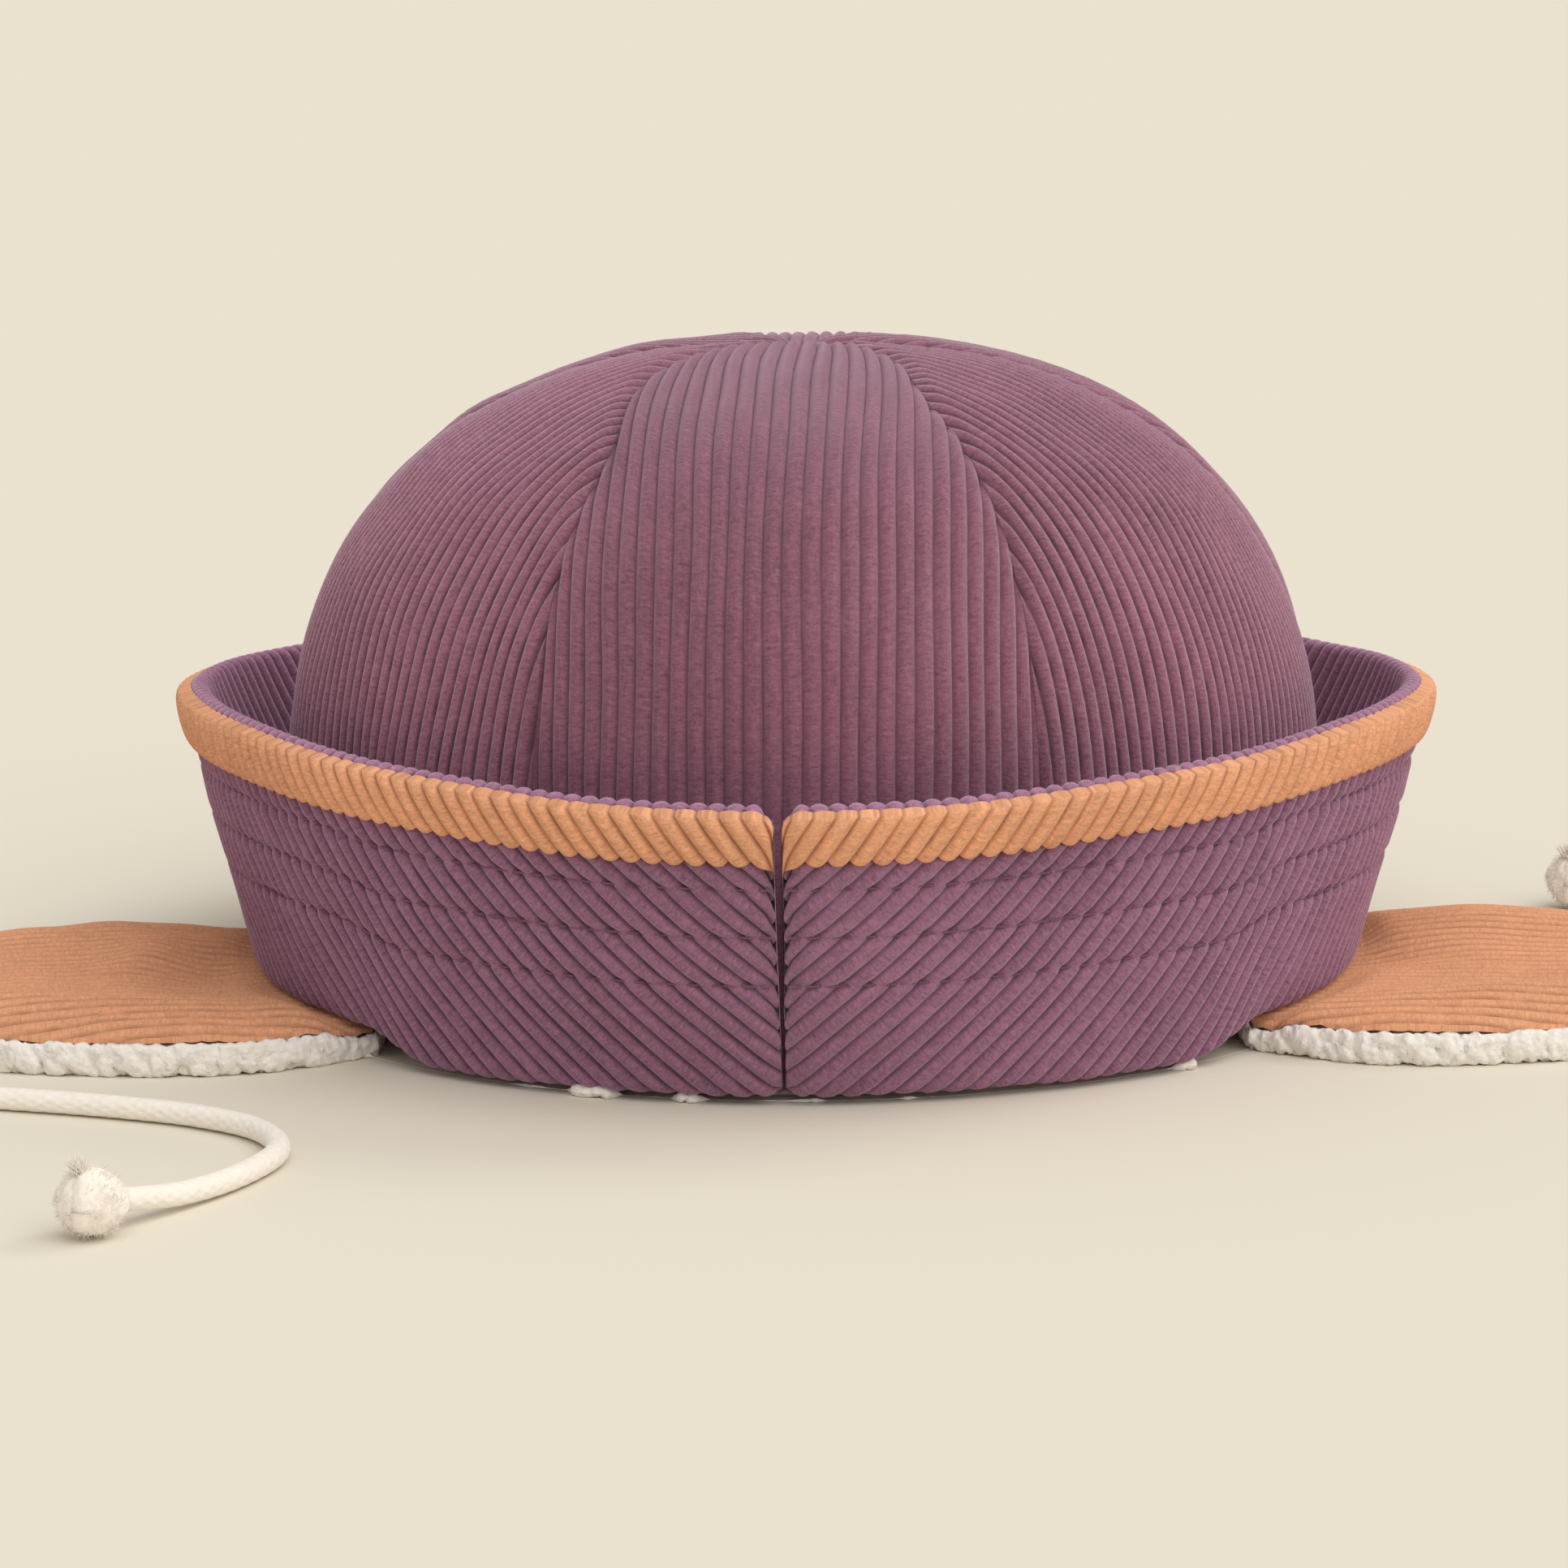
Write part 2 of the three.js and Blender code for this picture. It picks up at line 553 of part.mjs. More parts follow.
// A knot pulled tight beyond the end of a cord: a ball with three soft turns, on the table.
function knot(name, route) {
  const radius = KNOT_DIAMETER / 2;
  const geometry = new THREE.SphereGeometry(radius, KNOT_COLUMNS, KNOT_ROWS);
  const positions = geometry.getAttribute("position");
  const p = new THREE.Vector3();
  for (let i = 0; i < positions.count; i++) {
    p.fromBufferAttribute(positions, i);
    const lobes = Math.sin((KNOT_TURNS * p.y) / radius) * Math.cos((KNOT_TWIST * p.x) / radius);
    p.multiplyScalar(1 - KNOT_LOBES * (1 + lobes));
    positions.setXYZ(i, p.x, p.y, p.z);
  }
  const [end, before] = route.slice(-2).reverse().map((q) => new THREE.Vector3(...q));
  const ahead = end.clone().sub(before).setZ(0).normalize();
  const mesh = new THREE.Mesh(geometry, COTTON);
  mesh.name = name;
  mesh.position.copy(end).addScaledVector(ahead, radius + GAP).setZ(radius);
  return mesh;
}

const group = new THREE.Group();
SEAMS.forEach((panel) => group.add(crownPanel(panel)));
group.add(crownLining());
for (const { side, name } of FLAPS) {
  group.add(brimPiece(`brim_${name}`, PURPLE, side, brimSection));
  group.add(brimPiece(`brim_edge_${name}`, APRICOT, side, bandSection));
}
FLAPS.forEach((flap) => group.add(...flapPieces(flap)));
group.add(cord("cord_left", CORD_LEFT), knot("knot_left", CORD_LEFT));
group.add(cord("cord_right", CORD_RIGHT), knot("knot_right", CORD_RIGHT));

export default group;
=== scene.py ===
"""The looks of a winter hat: corduroy with real wales, sherpa pile, braided cords and the stage.

Shapes are worked out in millimetres and degrees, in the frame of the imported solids: +Z up, the
table at z = 0, the front towards -Y. An azimuth is turned from the front towards +X. Every cloth is
a grid whose columns run along the wales of its flat pattern, so that each wale is a real ridge.
"""

import itertools

import bpy
import numpy as np
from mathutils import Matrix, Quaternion, Vector


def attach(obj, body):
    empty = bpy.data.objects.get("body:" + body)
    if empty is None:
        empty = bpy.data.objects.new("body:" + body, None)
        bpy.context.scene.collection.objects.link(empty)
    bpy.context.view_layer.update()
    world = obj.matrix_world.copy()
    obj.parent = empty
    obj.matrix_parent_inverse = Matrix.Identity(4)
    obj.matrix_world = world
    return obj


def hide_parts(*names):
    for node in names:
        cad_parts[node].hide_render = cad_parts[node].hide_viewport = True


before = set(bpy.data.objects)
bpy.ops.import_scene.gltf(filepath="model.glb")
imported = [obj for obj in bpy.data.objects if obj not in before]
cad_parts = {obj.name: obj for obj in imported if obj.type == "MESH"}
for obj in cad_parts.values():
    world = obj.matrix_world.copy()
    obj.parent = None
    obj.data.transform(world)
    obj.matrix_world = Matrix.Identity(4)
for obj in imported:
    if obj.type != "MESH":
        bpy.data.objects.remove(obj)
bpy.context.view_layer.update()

bl_info = {
    "name": "Corduroy winter hat",
    "version": (1, 0, 0),
    "blender": (4, 5, 0),
    "location": "3D View > Sidebar > Winter hat",
    "description": "Dresses the solids of a winter hat in corduroy, sherpa and cotton cord",
    "category": "Add Mesh",
}

MM = 0.001

# Cloth and clearances, in millimetres
GAP = 0.3
PANEL_WALL = 2.2
SHERPA = 5

# Crown
CROWN_RADIUS = 94
HEM_TAPER = 2.5
HEM_RADIUS = CROWN_RADIUS - HEM_TAPER
HEM_SPREAD = 4.2
CROWN_HEIGHT = 117
WIDEST_HEIGHT = 39
SEAM_DIP = 3
SIDE_FULLNESS = 2.37
FRONT_FULLNESS = 2.85
BACK_FULLNESS = 2.5
FRONT_SEAM = 28
SIDE_SEAM = 90
BACK_SEAM = 150
FRONT_SPREAD = 45
FRONT_SPREADS = {-FRONT_SEAM: (0.53, 2.0), FRONT_SEAM: (0.66, 2.6)}

# Brim
BRIM_WALL = 3.9
FOLD_HEIGHT = 1.5
RIM_FLARE = 18
RIM_RADIUS = CROWN_RADIUS + RIM_FLARE
RIM_HEIGHT = 54
BRIM_BOW = 0.8
HALVES_GAP = 0.8
BAND_WIDTH = 9
BAND_PROUD = 1.2
BAND_SETBACK = 0.7

# Ear flaps
FLAP_WIDTH = 92
FLAP_TIP = 182
FLAP_TUCK = 14
FLAP_WALL = 1.8
FLAP_SHERPA = 5.8
PRESSED_SHERPA = 3.9
FLAP_ROLL = 0.9
PRESS_REACH = 7
LIFT_MARGIN = 1.5
LIFT_FADE = 11

# Cords
CORD_DIAMETER = 3.8
KNOT_DIAMETER = 11.5

# The crown's panels: name, azimuth of the seam it starts at and of the one it ends at.
PANELS = (
    ("crown_panel_front", -FRONT_SEAM, FRONT_SEAM),
    ("crown_panel_front_right", FRONT_SEAM, SIDE_SEAM),
    ("crown_panel_back_right", SIDE_SEAM, BACK_SEAM),
    ("crown_panel_back", BACK_SEAM, 360 - BACK_SEAM),
    ("crown_panel_back_left", 360 - BACK_SEAM, 360 - SIDE_SEAM),
    ("crown_panel_front_left", 360 - SIDE_SEAM, 360 - FRONT_SEAM),
)

# Soft dents of the crown: azimuth, share of the dome's quarter turn, half-widths in these two and
# depth as a share of SEAM_DIP.
DENTS = (
    (52, 0.6, 12, 0.09, 0.8),
    (-54, 0.66, 12, 0.12, 0.6),
    (76, 0.35, 12, 0.15, 0.6),
    (46, 0.78, 11, 0.06, 1.2),
    (-44, 0.58, 6, 0.1, 0.7),
    (-64, 0.45, 7, 0.08, 0.5),
    (-36, 0.3, 7, 0.25, 0.5),
    (36, 0.26, 7, 0.2, 0.4),
)

# The brim's free edge: azimuth on either side, share of RIM_RADIUS, share of RIM_HEIGHT.
RIM = (
    (0, 1.02, 0.968),
    (15, 1.01, 0.975),
    (30, 0.985, 1.0),
    (45, 0.97, 1.018),
    (60, 0.967, 1.037),
    (75, 0.98, 1.035),
    (90, 1.002, 1.02),
    (105, 1.005, 1.003),
    (120, 1.0, 0.982),
    (150, 1.0, 0.97),
    (180, 1.02, 0.968),
)

# The ear flaps: name, side, azimuth where it leaves the hem, turn of its length towards the back.
FLAPS = (
    ("left", -1, -71, 0),
    ("right", 1, 76, 8),
)

# Half a flap's width along its length, as shares.
FLAP_OUTLINE = (
    (0, 0.66),
    (0.07, 0.81),
    (0.2, 0.97),
    (0.38, 1.0),
    (0.57, 0.93),
    (0.7, 0.81),
    (0.82, 0.63),
    (0.92, 0.4),
    (0.975, 0.22),
    (1, 0.1),
)

# Swells and hollows of a flap: side (0 is both), along, across (1 faces the front), half-widths,
# rise as a share of FLAP_SHERPA.
FLAP_RELIEF = (
    (-1, 0.5, -0.7, 0.3, 0.35, 0.24),
    (-1, 0.33, -0.85, 0.1, 0.3, -0.2),
    (-1, 0.42, -0.25, 0.05, 0.25, 0.3),
    (-1, 0.3, -0.1, 0.07, 0.4, -0.45),
    (-1, 0.75, 0.5, 0.2, 0.3, 0.22),
    (1, 0.5, -0.6, 0.22, 0.4, 0.55),
    (1, 0.27, -0.2, 0.08, 0.3, -0.3),
    (0, 0.5, 0.66, 0.36, 0.2, 0.38),
)

# The routes of the cords along their middle, from the flap's tip to the knot.
CORD_ROUTES = {
    "left": (
        (-182.5, -29.8, 4.0),
        (-187.5, -30.3, 3.4),
        (-192.5, -38, 2.5),
        (-194, -56, 2.1),
        (-185, -78, 2.1),
        (-163, -93, 2.1),
        (-130, -100, 2.1),
        (-109, -106, 2.1),
        (-95, -112, 2.1),
        (-84, -121, 2.1),
        (-79, -134, 2.1),
        (-83, -150, 2.1),
        (-90, -163, 2.6),
        (-98, -175, 4.6),
    ),
    "right": (
        (182.5, -7.6, 4.0),
        (187.5, -6.9, 3.4),
        (199, -4, 2.3),
        (216, 8, 2.1),
        (232, 32, 2.1),
        (235, 64, 2.1),
        (220, 94, 2.1),
        (192, 106, 2.1),
        (168, 97, 2.1),
        (156.5, 77.5, 2.6),
        (149.5, 69, 4.6),
    ),
}

# Grid columns and rows of a cloth. WALE_STEPS: places of columns within a wale, as shares of the
# pitch, crowded at its valleys. TAIL_STEPS: distances of the first rows from the end of a wale.
# PANEL_ROWS and FLAP_ROWS: number of the rows between, and length below which a wale's tails
# shrink. MERIDIAN_STEPS: on the crown's wall and on its dome. FAR is further from an edge than any
# effect of it.
WALE_STEPS = (0, 0.07, 0.17, 0.33, 0.5, 0.67, 0.83, 0.93)
TAIL_STEPS = np.array((0, 0.25, 0.55, 0.9, 1.4, 2.0, 2.9, 4.2, 6.2))
PANEL_ROWS = (34, 20)
FLAP_ROWS = (50, 24)
BRIM_ROWS = 24
INNER_BRIM_ROWS = 22
TURN_ROWS = 9
BAND_ROWS = 19
CORD_SIDES = 36
MERIDIAN_STEPS = (300, 2600)
NEAREST_COLUMNS = 0.05
FAR = 99

# Soft unevenness: its size and the length of its waves, in millimetres.
UNEVENNESS = {
    "wandering wales": (0.25, 46),
    "crown": (0.35, 30),
    "brim": (0.25, 24),
    "flap": (0.25, 21),
    "knot": (0.25, 3.2),
}

# Corduroy on the crown. FINER_WALES: width of a wale beside and behind the front panel, as a share
# of one on it. WALE_DRIFT: lean in degrees and bend in millimetres. DRIFT_BEND: where on the way
# up the bend begins and ends. TIP_LEVEL keeps the wales apart at the very top.
FINER_WALES = 0.82
DRIFT_BEND = (0.3, 0.8)
WALE_DRIFT = {"crown_panel_front_left": (3.0, -5), "crown_panel_front_right": (-1.5, 4)}
WANDER_FADE = 12
TIP_LEVEL = 0.012
SEAM_REACH = 1.3

# Sherpa. FRINGE: where the lining looks out under the front hem, as azimuth and half-width, and
# FRINGE_SHARE its weight beside the ripples that part the tufts. TUFT_RISE: their sum where a tuft
# begins and where it is full. The tube of the tufts has a radius, a height and a distance from the
# hem, each hidden and shown.
PILE = 1.6
LINING_COLUMNS = 340
OUTER_ROWS, INNER_ROWS = 14, 84
SHERPA_LOWEST = 0.05
FRINGE = ((-20, 15), (49, 9), (-52, 4))
FRINGE_SHARE = 0.9
FRINGE_REACH = 60
FRINGE_GRID = (700, 11)
TUFT_LENGTH = 6
TUFT_RISE = (0.6, 1.3)
TUFT_RADIUS = (0.03, 0.88)
TUFT_HEIGHT = (0.2, 0.9)
TUFT_OUT = (1.2, 3.3)
TUFT_PILE = 1.1
TUFT_CURL = 1.9
TUFT_LOWEST = 0.04

# The brim's flat pattern: the lean of its ribs at the seam, its turn for each degree of azimuth,
# the radius of its fold and its width. Lengths along the brim are told at MIDWAY_RADIUS.
RIB_LEAN = 47
BRIM_TURN = 0.3
PATTERN_FOLD = 323
FLAT_SLANT = 52
BAND_FOOT = FLAT_SLANT - BAND_WIDTH
MIDWAY_RADIUS = HEM_RADIUS + 12

# Ends and edge of a brim half. OPENING_RISE and JAG_RISE: shares of the slant at which these begin
# and are full. The cloth turns in at a seam by SEAM_TURN within TURN_REACH, and goes EDGE_TURN half
# turns round its free edge.
BRIM_CORNER = 3.2
SEAM_OPENING = 0.25
OPENING_RISE = (0.3, 0.55)
OPENING_FADE = 20
SEAM_JAG = 0.9
JAG_RISE = (0, 0.4)
JAG_FADE = 2.5
SEAM_TURN = 1.1
TURN_REACH = 1.7
EDGE_ROUND = 1.45
EDGE_LOWER = 0.5
EDGE_WALES = 0.5
EDGE_TURN = 1.1
UNDER_BAND = BAND_PROUD + 0.9

# Stitching: distances of its rows below the band, and grid rows that follow its pressed line
STITCH_ROWS = (4.7, 13.6, 22.9)
STITCH_DEPTH = 0.55
STITCH_WIDTH = 0.8
STITCH_GAP = 0.5
STITCH_SUNK = 0.12
STITCH_PRESS = np.array((-1.5, -0.8, -0.4, 0, 0.4, 0.8, 1.5))

# The band along the brim's edge, and the brim's grid rows beside its lower edge. Its section is
# round by BAND_POWER, and it is lower by BAND_TAPER within TAPER_REACH of its ends. SCALLOPS: how
# far its lower and upper edges follow the wales.
BAND_TUCK = np.array((-0.3, 0.3, 0.9, 1.6))
BAND_POWER = 0.45
BAND_TAPER = 1.2
TAPER_REACH = 1.5
BAND_JAG = 0.9
SCALLOPS = (0.7, 0.25)
BAND_LEAN = 30
BAND_RELIEF = 1.05
BAND_PUFF = 0.3
BAND_SUNK = 1.3

# Cloth and edge of an ear flap, and its cushion of sherpa. CUSHION_ROWS: rows on its top, round
# its side and below it. CURLS: sizes of coarse and fine curls as shares of curl_size.
WALE_TURN = 10
EDGE_DROP = 0.8
DROP_REACH = 2.6
FLAP_WALES = 0.75
FLAP_SUNK = 0.2
EDGE_TUCK = 0.9
EDGE_FILL = 0.6
EDGE_BULGE = 1.7
EDGE_UNDERCUT = 0.4
UNDER_CREASE = 1.1
CUSHION_COLUMNS = 760
CUSHION_ROWS = (5, 12, 25)
CURLS = (0.8, 0.34)

# Braid, knots and loose fibres. KNOT_TILT: turn of the knot, in radians. FUZZ and FRAY: number,
# length and radius of the fibres, their sides and their rings.
BRAID_STRANDS = 8
BRAID_RELIEF = 0.24
KNOT_SPREAD = 1.25
KNOT_DEPTH = 1.9
KNOT_TILT = 0.5
KNOT_FULLNESS = 0.9
FUZZ = (700, 1.7, 0.06, 3, 3)
FRAY = (70, 4.6, 0.09, 4, 5)
COTTON_LOWEST = 0.03

# The corduroys: colour of the pile and its lightness, share of it left in the valleys as painted
# shade on the cloth's ground, where the valleys begin as a share of the pitch from a ridge, weight
# and tint of the sheen, and unevenness. The valleys have less painted shade on the front panel and
# on the brim's right half. The lightness paints light: the crown's side and back panels are a
# lighter copy of the front panel's cloth, and the inside of the brim a lighter copy of its outside.
PURPLE_SHEEN = (0.95, 0.71, 0.86)
ORANGE_SHEEN = (1, 0.8, 0.62)
CORDUROYS = {
    "front_panel_cloth": ("crown", 1, 0.72, 0.4, 0.7, PURPLE_SHEEN, 1.0),
    "crown_cloth": ("crown", 1.09, 0.3, 0.27, 1.0, PURPLE_SHEEN, 1.15),
    "left_brim_cloth": ("brim", 1, 0.36, 0.32, 0.7, PURPLE_SHEEN, 1.0),
    "right_brim_cloth": ("brim", 1, 0.56, 0.34, 0.7, PURPLE_SHEEN, 1.1),
    "inner_brim_cloth": ("brim", 1.3, 0.4, 0.3, 0.9, PURPLE_SHEEN, 1.0),
    "band_cloth": ("orange", 1, 0.5, 0.37, 0.15, ORANGE_SHEEN, 0.75),
    "flap_cloth": ("orange", 1, 0.45, 0.24, 0.15, ORANGE_SHEEN, 0.6),
}

# Floor and light
FLOOR_REACH = 40
FILL_COLOUR = (1.0, 0.985, 0.965, 1)
FILL_STRENGTH = 0.52
LIGHT_COLOUR = (1.0, 0.985, 0.96)
LIGHT_DISTANCE = 1500

# The lights: name, azimuth, elevation and spread in degrees, and strength.
LIGHTS = (
    ("front_window", 35, 50, 70, 1.6),
    ("back_window", 118, 42, 30, 0.58),
)

# The camera as the photograph was taken: degrees and millimetres, and its reach in metres.
CAMERA_AZIMUTH = 2.487
CAMERA_ELEVATION = 10.546
CAMERA_ROLL = -0.447
CAMERA_DISTANCE = 1008
CAMERA_TARGET = (-3.78, 0, 36.386)
CAMERA_LENS = 127.7
SENSOR = 36
CAMERA_REACH = 100


def mm(name, default, description):
    """A length property whose default is given in millimetres."""
    return bpy.props.FloatProperty(
        name=name, default=default * MM, min=0, unit="LENGTH", precision=5, description=description
    )


def colour(name, default, description):
    """A colour property. Its default is in display values, 0 to 255, and is stored as linear
    light."""
    display = np.array(default) / 255
    linear = np.where(display < 0.04045, display / 12.92, ((display + 0.055) / 1.055) ** 2.4)
    return bpy.props.FloatVectorProperty(
        name=name,
        default=tuple(linear),
        size=3,
        min=0,
        max=1,
        subtype="COLOR",
        description=description,
    )


class HatSizes(bpy.types.PropertyGroup):
    """Sizes of the details that the cloth adds to the solids."""

    wale_pitch: mm("Wale pitch", 3.175, "Distance from one wale of the corduroy to the next")
    wale_height: mm("Wale height", 1.25, "How far a wale stands above the ground of the cloth")
    seam_roll: mm("Seam roll", 1.1, "How far the cloth turns down at a seam of the crown")
    stitch_length: mm("Stitch length", 2.6, "Length of one stitch on the brim")
    thread: mm("Thread", 0.42, "Diameter of the sewing thread")
    curl_size: mm("Curl size", 4.2, "Distance between the curls of the sherpa")
    braid_pitch: mm("Braid pitch", 3.4, "Length of one repeat of the cord's braid")


class HatColours(bpy.types.PropertyGroup):
    """Colours of the hat's cloths and of the stage."""

    crown: colour("Crown", (138, 91, 108), "Wales of the crown")
    brim: colour("Brim", (145, 101, 126), "Wales of the brim")
    orange: colour("Orange", (228, 164, 124), "Wales of the flaps and of the brim's edge")
    sherpa: colour("Sherpa", (249, 244, 237), "Curls of the sherpa")
    cord: colour("Cord", (250, 242, 232), "Cotton of the cords and knots")
    floor: colour("Floor", (231, 224, 208), "Floor and backdrop")


def size(name):
    """One of the scene's sizes, in millimetres."""
    return getattr(bpy.context.scene.hat_sizes, name) / MM


def table_at(rows, column, x):
    """Smooth curve through a table's rows at x, flat at both ends.

    Cubic Hermite pieces: with t from 0 to 1 between two rows, the value is
    y0 (1 + 2t)(1 - t)^2 + y1 t^2 (3 - 2t) + span (m0 t (1 - t)^2 - m1 t^2 (1 - t)),
    where m is the slope from the row before to the row after.
    """
    table = np.array(rows, float)
    xs, ys = table[:, 0], table[:, column]
    slopes = np.zeros(len(xs))
    slopes[1:-1] = (ys[2:] - ys[:-2]) / (xs[2:] - xs[:-2])
    k = np.clip(np.searchsorted(xs, x, side="right") - 1, 0, len(xs) - 2)
    span = xs[k + 1] - xs[k]
    t = np.clip((x - xs[k]) / span, 0, 1)
    ends = ys[k] * (1 + 2 * t) * (1 - t) ** 2 + ys[k + 1] * t**2 * (3 - 2 * t)
    return ends + span * (slopes[k] * t * (1 - t) ** 2 - slopes[k + 1] * t**2 * (1 - t))


def smoothstep(x, low, high):
    """0 below low, 1 above high, and 3t^2 - 2t^3 between them."""
    t = np.clip((x - low) / (high - low), 0, 1)
    return t * t * (3 - 2 * t)


def lerp(a, b, share):
    """The value at a share of the way from a to b."""
    return a + (b - a) * share


def bell(x, width):
    """exp(-(x / width)^2)."""
    return np.exp(-((x / width) ** 2))


def turn(start, end):
    """The shortest turn from one azimuth to another, in degrees."""
    return (end - start + 180) % 360 - 180


def polar(radius, azimuth, z):
    """Points (r sin a, -r cos a, z), stacked on a last axis."""
    a = np.radians(azimuth)
    return np.stack(np.broadcast_arrays(radius * np.sin(a), -radius * np.cos(a), z), axis=-1)


def ripples(x, y, length, seed):
    """Soft unevenness, about -1 to 1: a sum of seven sines in seeded directions, with waves of
    about the length."""
    rng = np.random.default_rng(int(seed))
    total = 0
    for angle, phase, stretch in rng.uniform((0, 0, 0.6), (np.pi, 2 * np.pi, 1.7), (7, 3)):
        along = x * np.cos(angle) + y * np.sin(angle)
        total = total + np.sin(2 * np.pi * along / (length * stretch) + phase)
    return total / 3.5


def uneven(kind, x, y, seed):
    """Soft unevenness of a kind named in UNEVENNESS, in millimetres."""
    deep, length = UNEVENNESS[kind]
    return deep * ripples(x, y, length, seed)


def curls(points, apart, seed):
    """Height of curly pile at points, 0 to 1.

    Each cube of a lattice, apart wide, holds one centre, jittered by the fraction of a large sine.
    With d the distance to the nearest centre as a share of apart, the height is
    sqrt(1 - (d / 0.78)^2): half spheres with creases between them.
    """
    scaled = points / apart
    cell = np.floor(scaled)
    mixing = np.array(
        [[12.9898, 39.3468, 73.156], [78.233, 11.135, 52.235], [37.719, 83.155, 9.151]]
    )
    nearest = np.full(points.shape[:-1], 9.0)
    for offset in itertools.product((-1, 0, 1), repeat=3):
        at = cell + offset
        jitter = np.modf(np.sin(at @ mixing + seed) * 43758.5453)[0] * 0.5 + 0.5
        nearest = np.minimum(nearest, np.linalg.norm(at + jitter - scaled, axis=-1))
    return np.sqrt(np.clip(1 - (nearest / 0.78) ** 2, 0, 1))


def wale_columns(low, high, pitch):
    """Places of grid columns across the wales from low to high, crowded at the valleys.

    Within a wale from k pitch to (k + 1) pitch the columns stand at the shares of WALE_STEPS.
    """
    first, last = int(np.floor(low / pitch)), int(np.ceil(high / pitch))
    places = ((np.arange(first, last)[:, None] + np.array(WALE_STEPS)) * pitch).ravel()
    inside = places[(places > low + NEAREST_COLUMNS) & (places < high - NEAREST_COLUMNS)]
    return np.concatenate(([low], inside, [high]))


def wale_rows(begin, end, count, short):
    """Places of grid rows along wales from begin to end, with count of them between the tails. The
    tails shrink on wales shorter than short."""
    tail = TAIL_STEPS[:, None] * np.minimum(1, (end - begin) / short)
    body = lerp(begin + tail[-1], end - tail[-1], np.linspace(0, 1, count)[:, None])
    return np.concatenate((begin + tail[:-1], body, (end - tail[:-1])[::-1]))


def wale_height(across, pitch, share=1.0):
    """Height of the corduroy's wales: h (0.5 - |2f - 1|^2.2), f the share of the way from one
    valley to the next and h a share of the scene's wale height."""
    return size("wale_height") * share * (0.5 - np.abs(2 * (across / pitch % 1) - 1) ** 2.2)


def seam_at(azimuth, up):
    """Azimuth of a seam at a share of the dome's quarter turn. The two front seams spread towards
    the top, where the front panel ends bluntly: by FRONT_SPREAD ((up - start) / (1 - start))^power
    of FRONT_SPREADS."""
    start, power = FRONT_SPREADS.get(turn(0, azimuth), (1, 1))
    side = np.sign(turn(0, azimuth))
    share = np.clip((up - start) / (1.001 - start), 0, 1) ** power
    return azimuth + side * FRONT_SPREAD * share


def towards_seam(azimuth, up):
    """Share of the way from a panel's middle to its seam, 0 to 1."""
    share = np.ones(np.broadcast(azimuth, up).shape)
    for _, start, end in PANELS:
        first, last = seam_at(start, up), seam_at(end, up)
        half = (last - first) / 2
        off = np.abs(turn((first + last) / 2, azimuth))
        share = np.where(off <= half + 1e-9, off / half, share)
    return share


def crown_inset(azimuth, up, fade):
    """How far the crown is in from its full roundness: SEAM_DIP fade (seam share^2 + dents)."""
    dents = sum(
        deep * bell(turn(middle, azimuth), wide) * bell(up - height, tall)
        for middle, height, wide, tall, deep in DENTS
    )
    return SEAM_DIP * fade * (towards_seam(azimuth, up) ** 2 + dents)


def hem_radius(azimuth):
    """Outer radius of the hem: HEM_RADIUS + HEM_SPREAD sin^2 of the azimuth."""
    return HEM_RADIUS + HEM_SPREAD * np.sin(np.radians(azimuth)) ** 2


def wall_radius(azimuth, z):
    """Outer radius of the crown's upright part at a height, from the hem's to CROWN_RADIUS."""
    fade = np.sin(np.pi / 2 * np.clip(z / WIDEST_HEIGHT, 0, 1))
    return lerp(hem_radius(azimuth), CROWN_RADIUS, fade) - crown_inset(azimuth, 0, fade)


def dome_exponent(azimuth):
    """2 over the fullness of the dome's super-ellipse, which changes with cos^2 of the azimuth."""
    ahead = np.cos(np.radians(azimuth))
    return 2 / lerp(SIDE_FULLNESS, np.where(ahead > 0, FRONT_FULLNESS, BACK_FULLNESS), ahead**2)


def dome(azimuth, up):
    """Outer radius and height of the dome at a share of its quarter turn: powers of its cosine and
    sine by the dome's exponent."""
    power = dome_exponent(azimuth)
    angle = np.pi / 2 * np.clip(up, 0, 1)
    level = np.clip(np.cos(angle), 0, 1) ** power
    rise = np.sin(angle) ** power
    radius = (CROWN_RADIUS - crown_inset(azimuth, up, 1)) * level
    return radius, lerp(WIDEST_HEIGHT, CROWN_HEIGHT, rise)


def crown_meridian(azimuth, t):
    """Radius and height of the crown, t from 0 at the table over 1 at the widest to 2 at the top."""
    z = WIDEST_HEIGHT * np.clip(t, 0, 1)
    above, height = dome(azimuth, t - 1)
    return np.where(t <= 1, wall_radius(azimuth, z), above), np.where(t <= 1, z, height)


def crown_points(azimuth, t, out):
    """Points of the crown moved out by a distance along the meridian's normal."""
    step = 0.012
    radius, z = crown_meridian(azimuth, t)
    ahead_r, ahead_z = crown_meridian(azimuth, np.minimum(2, t + step))
    back_r, back_z = crown_meridian(azimuth, np.maximum(0, t - step))
    dr, dz = ahead_r - back_r, ahead_z - back_z
    long = np.hypot(dr, dz) + 1e-12
    return polar(np.maximum(0, radius + out * dz / long), azimuth, z - out * dr / long)


def flap_frame(side, azimuth, heading):
    """A flap's inner end, its directions along and across towards the front, and its length."""
    h = np.radians(heading)
    along = np.array((side * np.cos(h), np.sin(h), 0))
    across = np.array((side * np.sin(h), -np.cos(h), 0))
    start = polar(HEM_RADIUS, azimuth, 0) - FLAP_TUCK * along
    return start, along, across, (FLAP_TIP - side * start[0]) / np.cos(h)


def flap_half(share):
    """Half a flap's width at a share of its length."""
    return FLAP_WIDTH / 2 * table_at(FLAP_OUTLINE, 1, share)


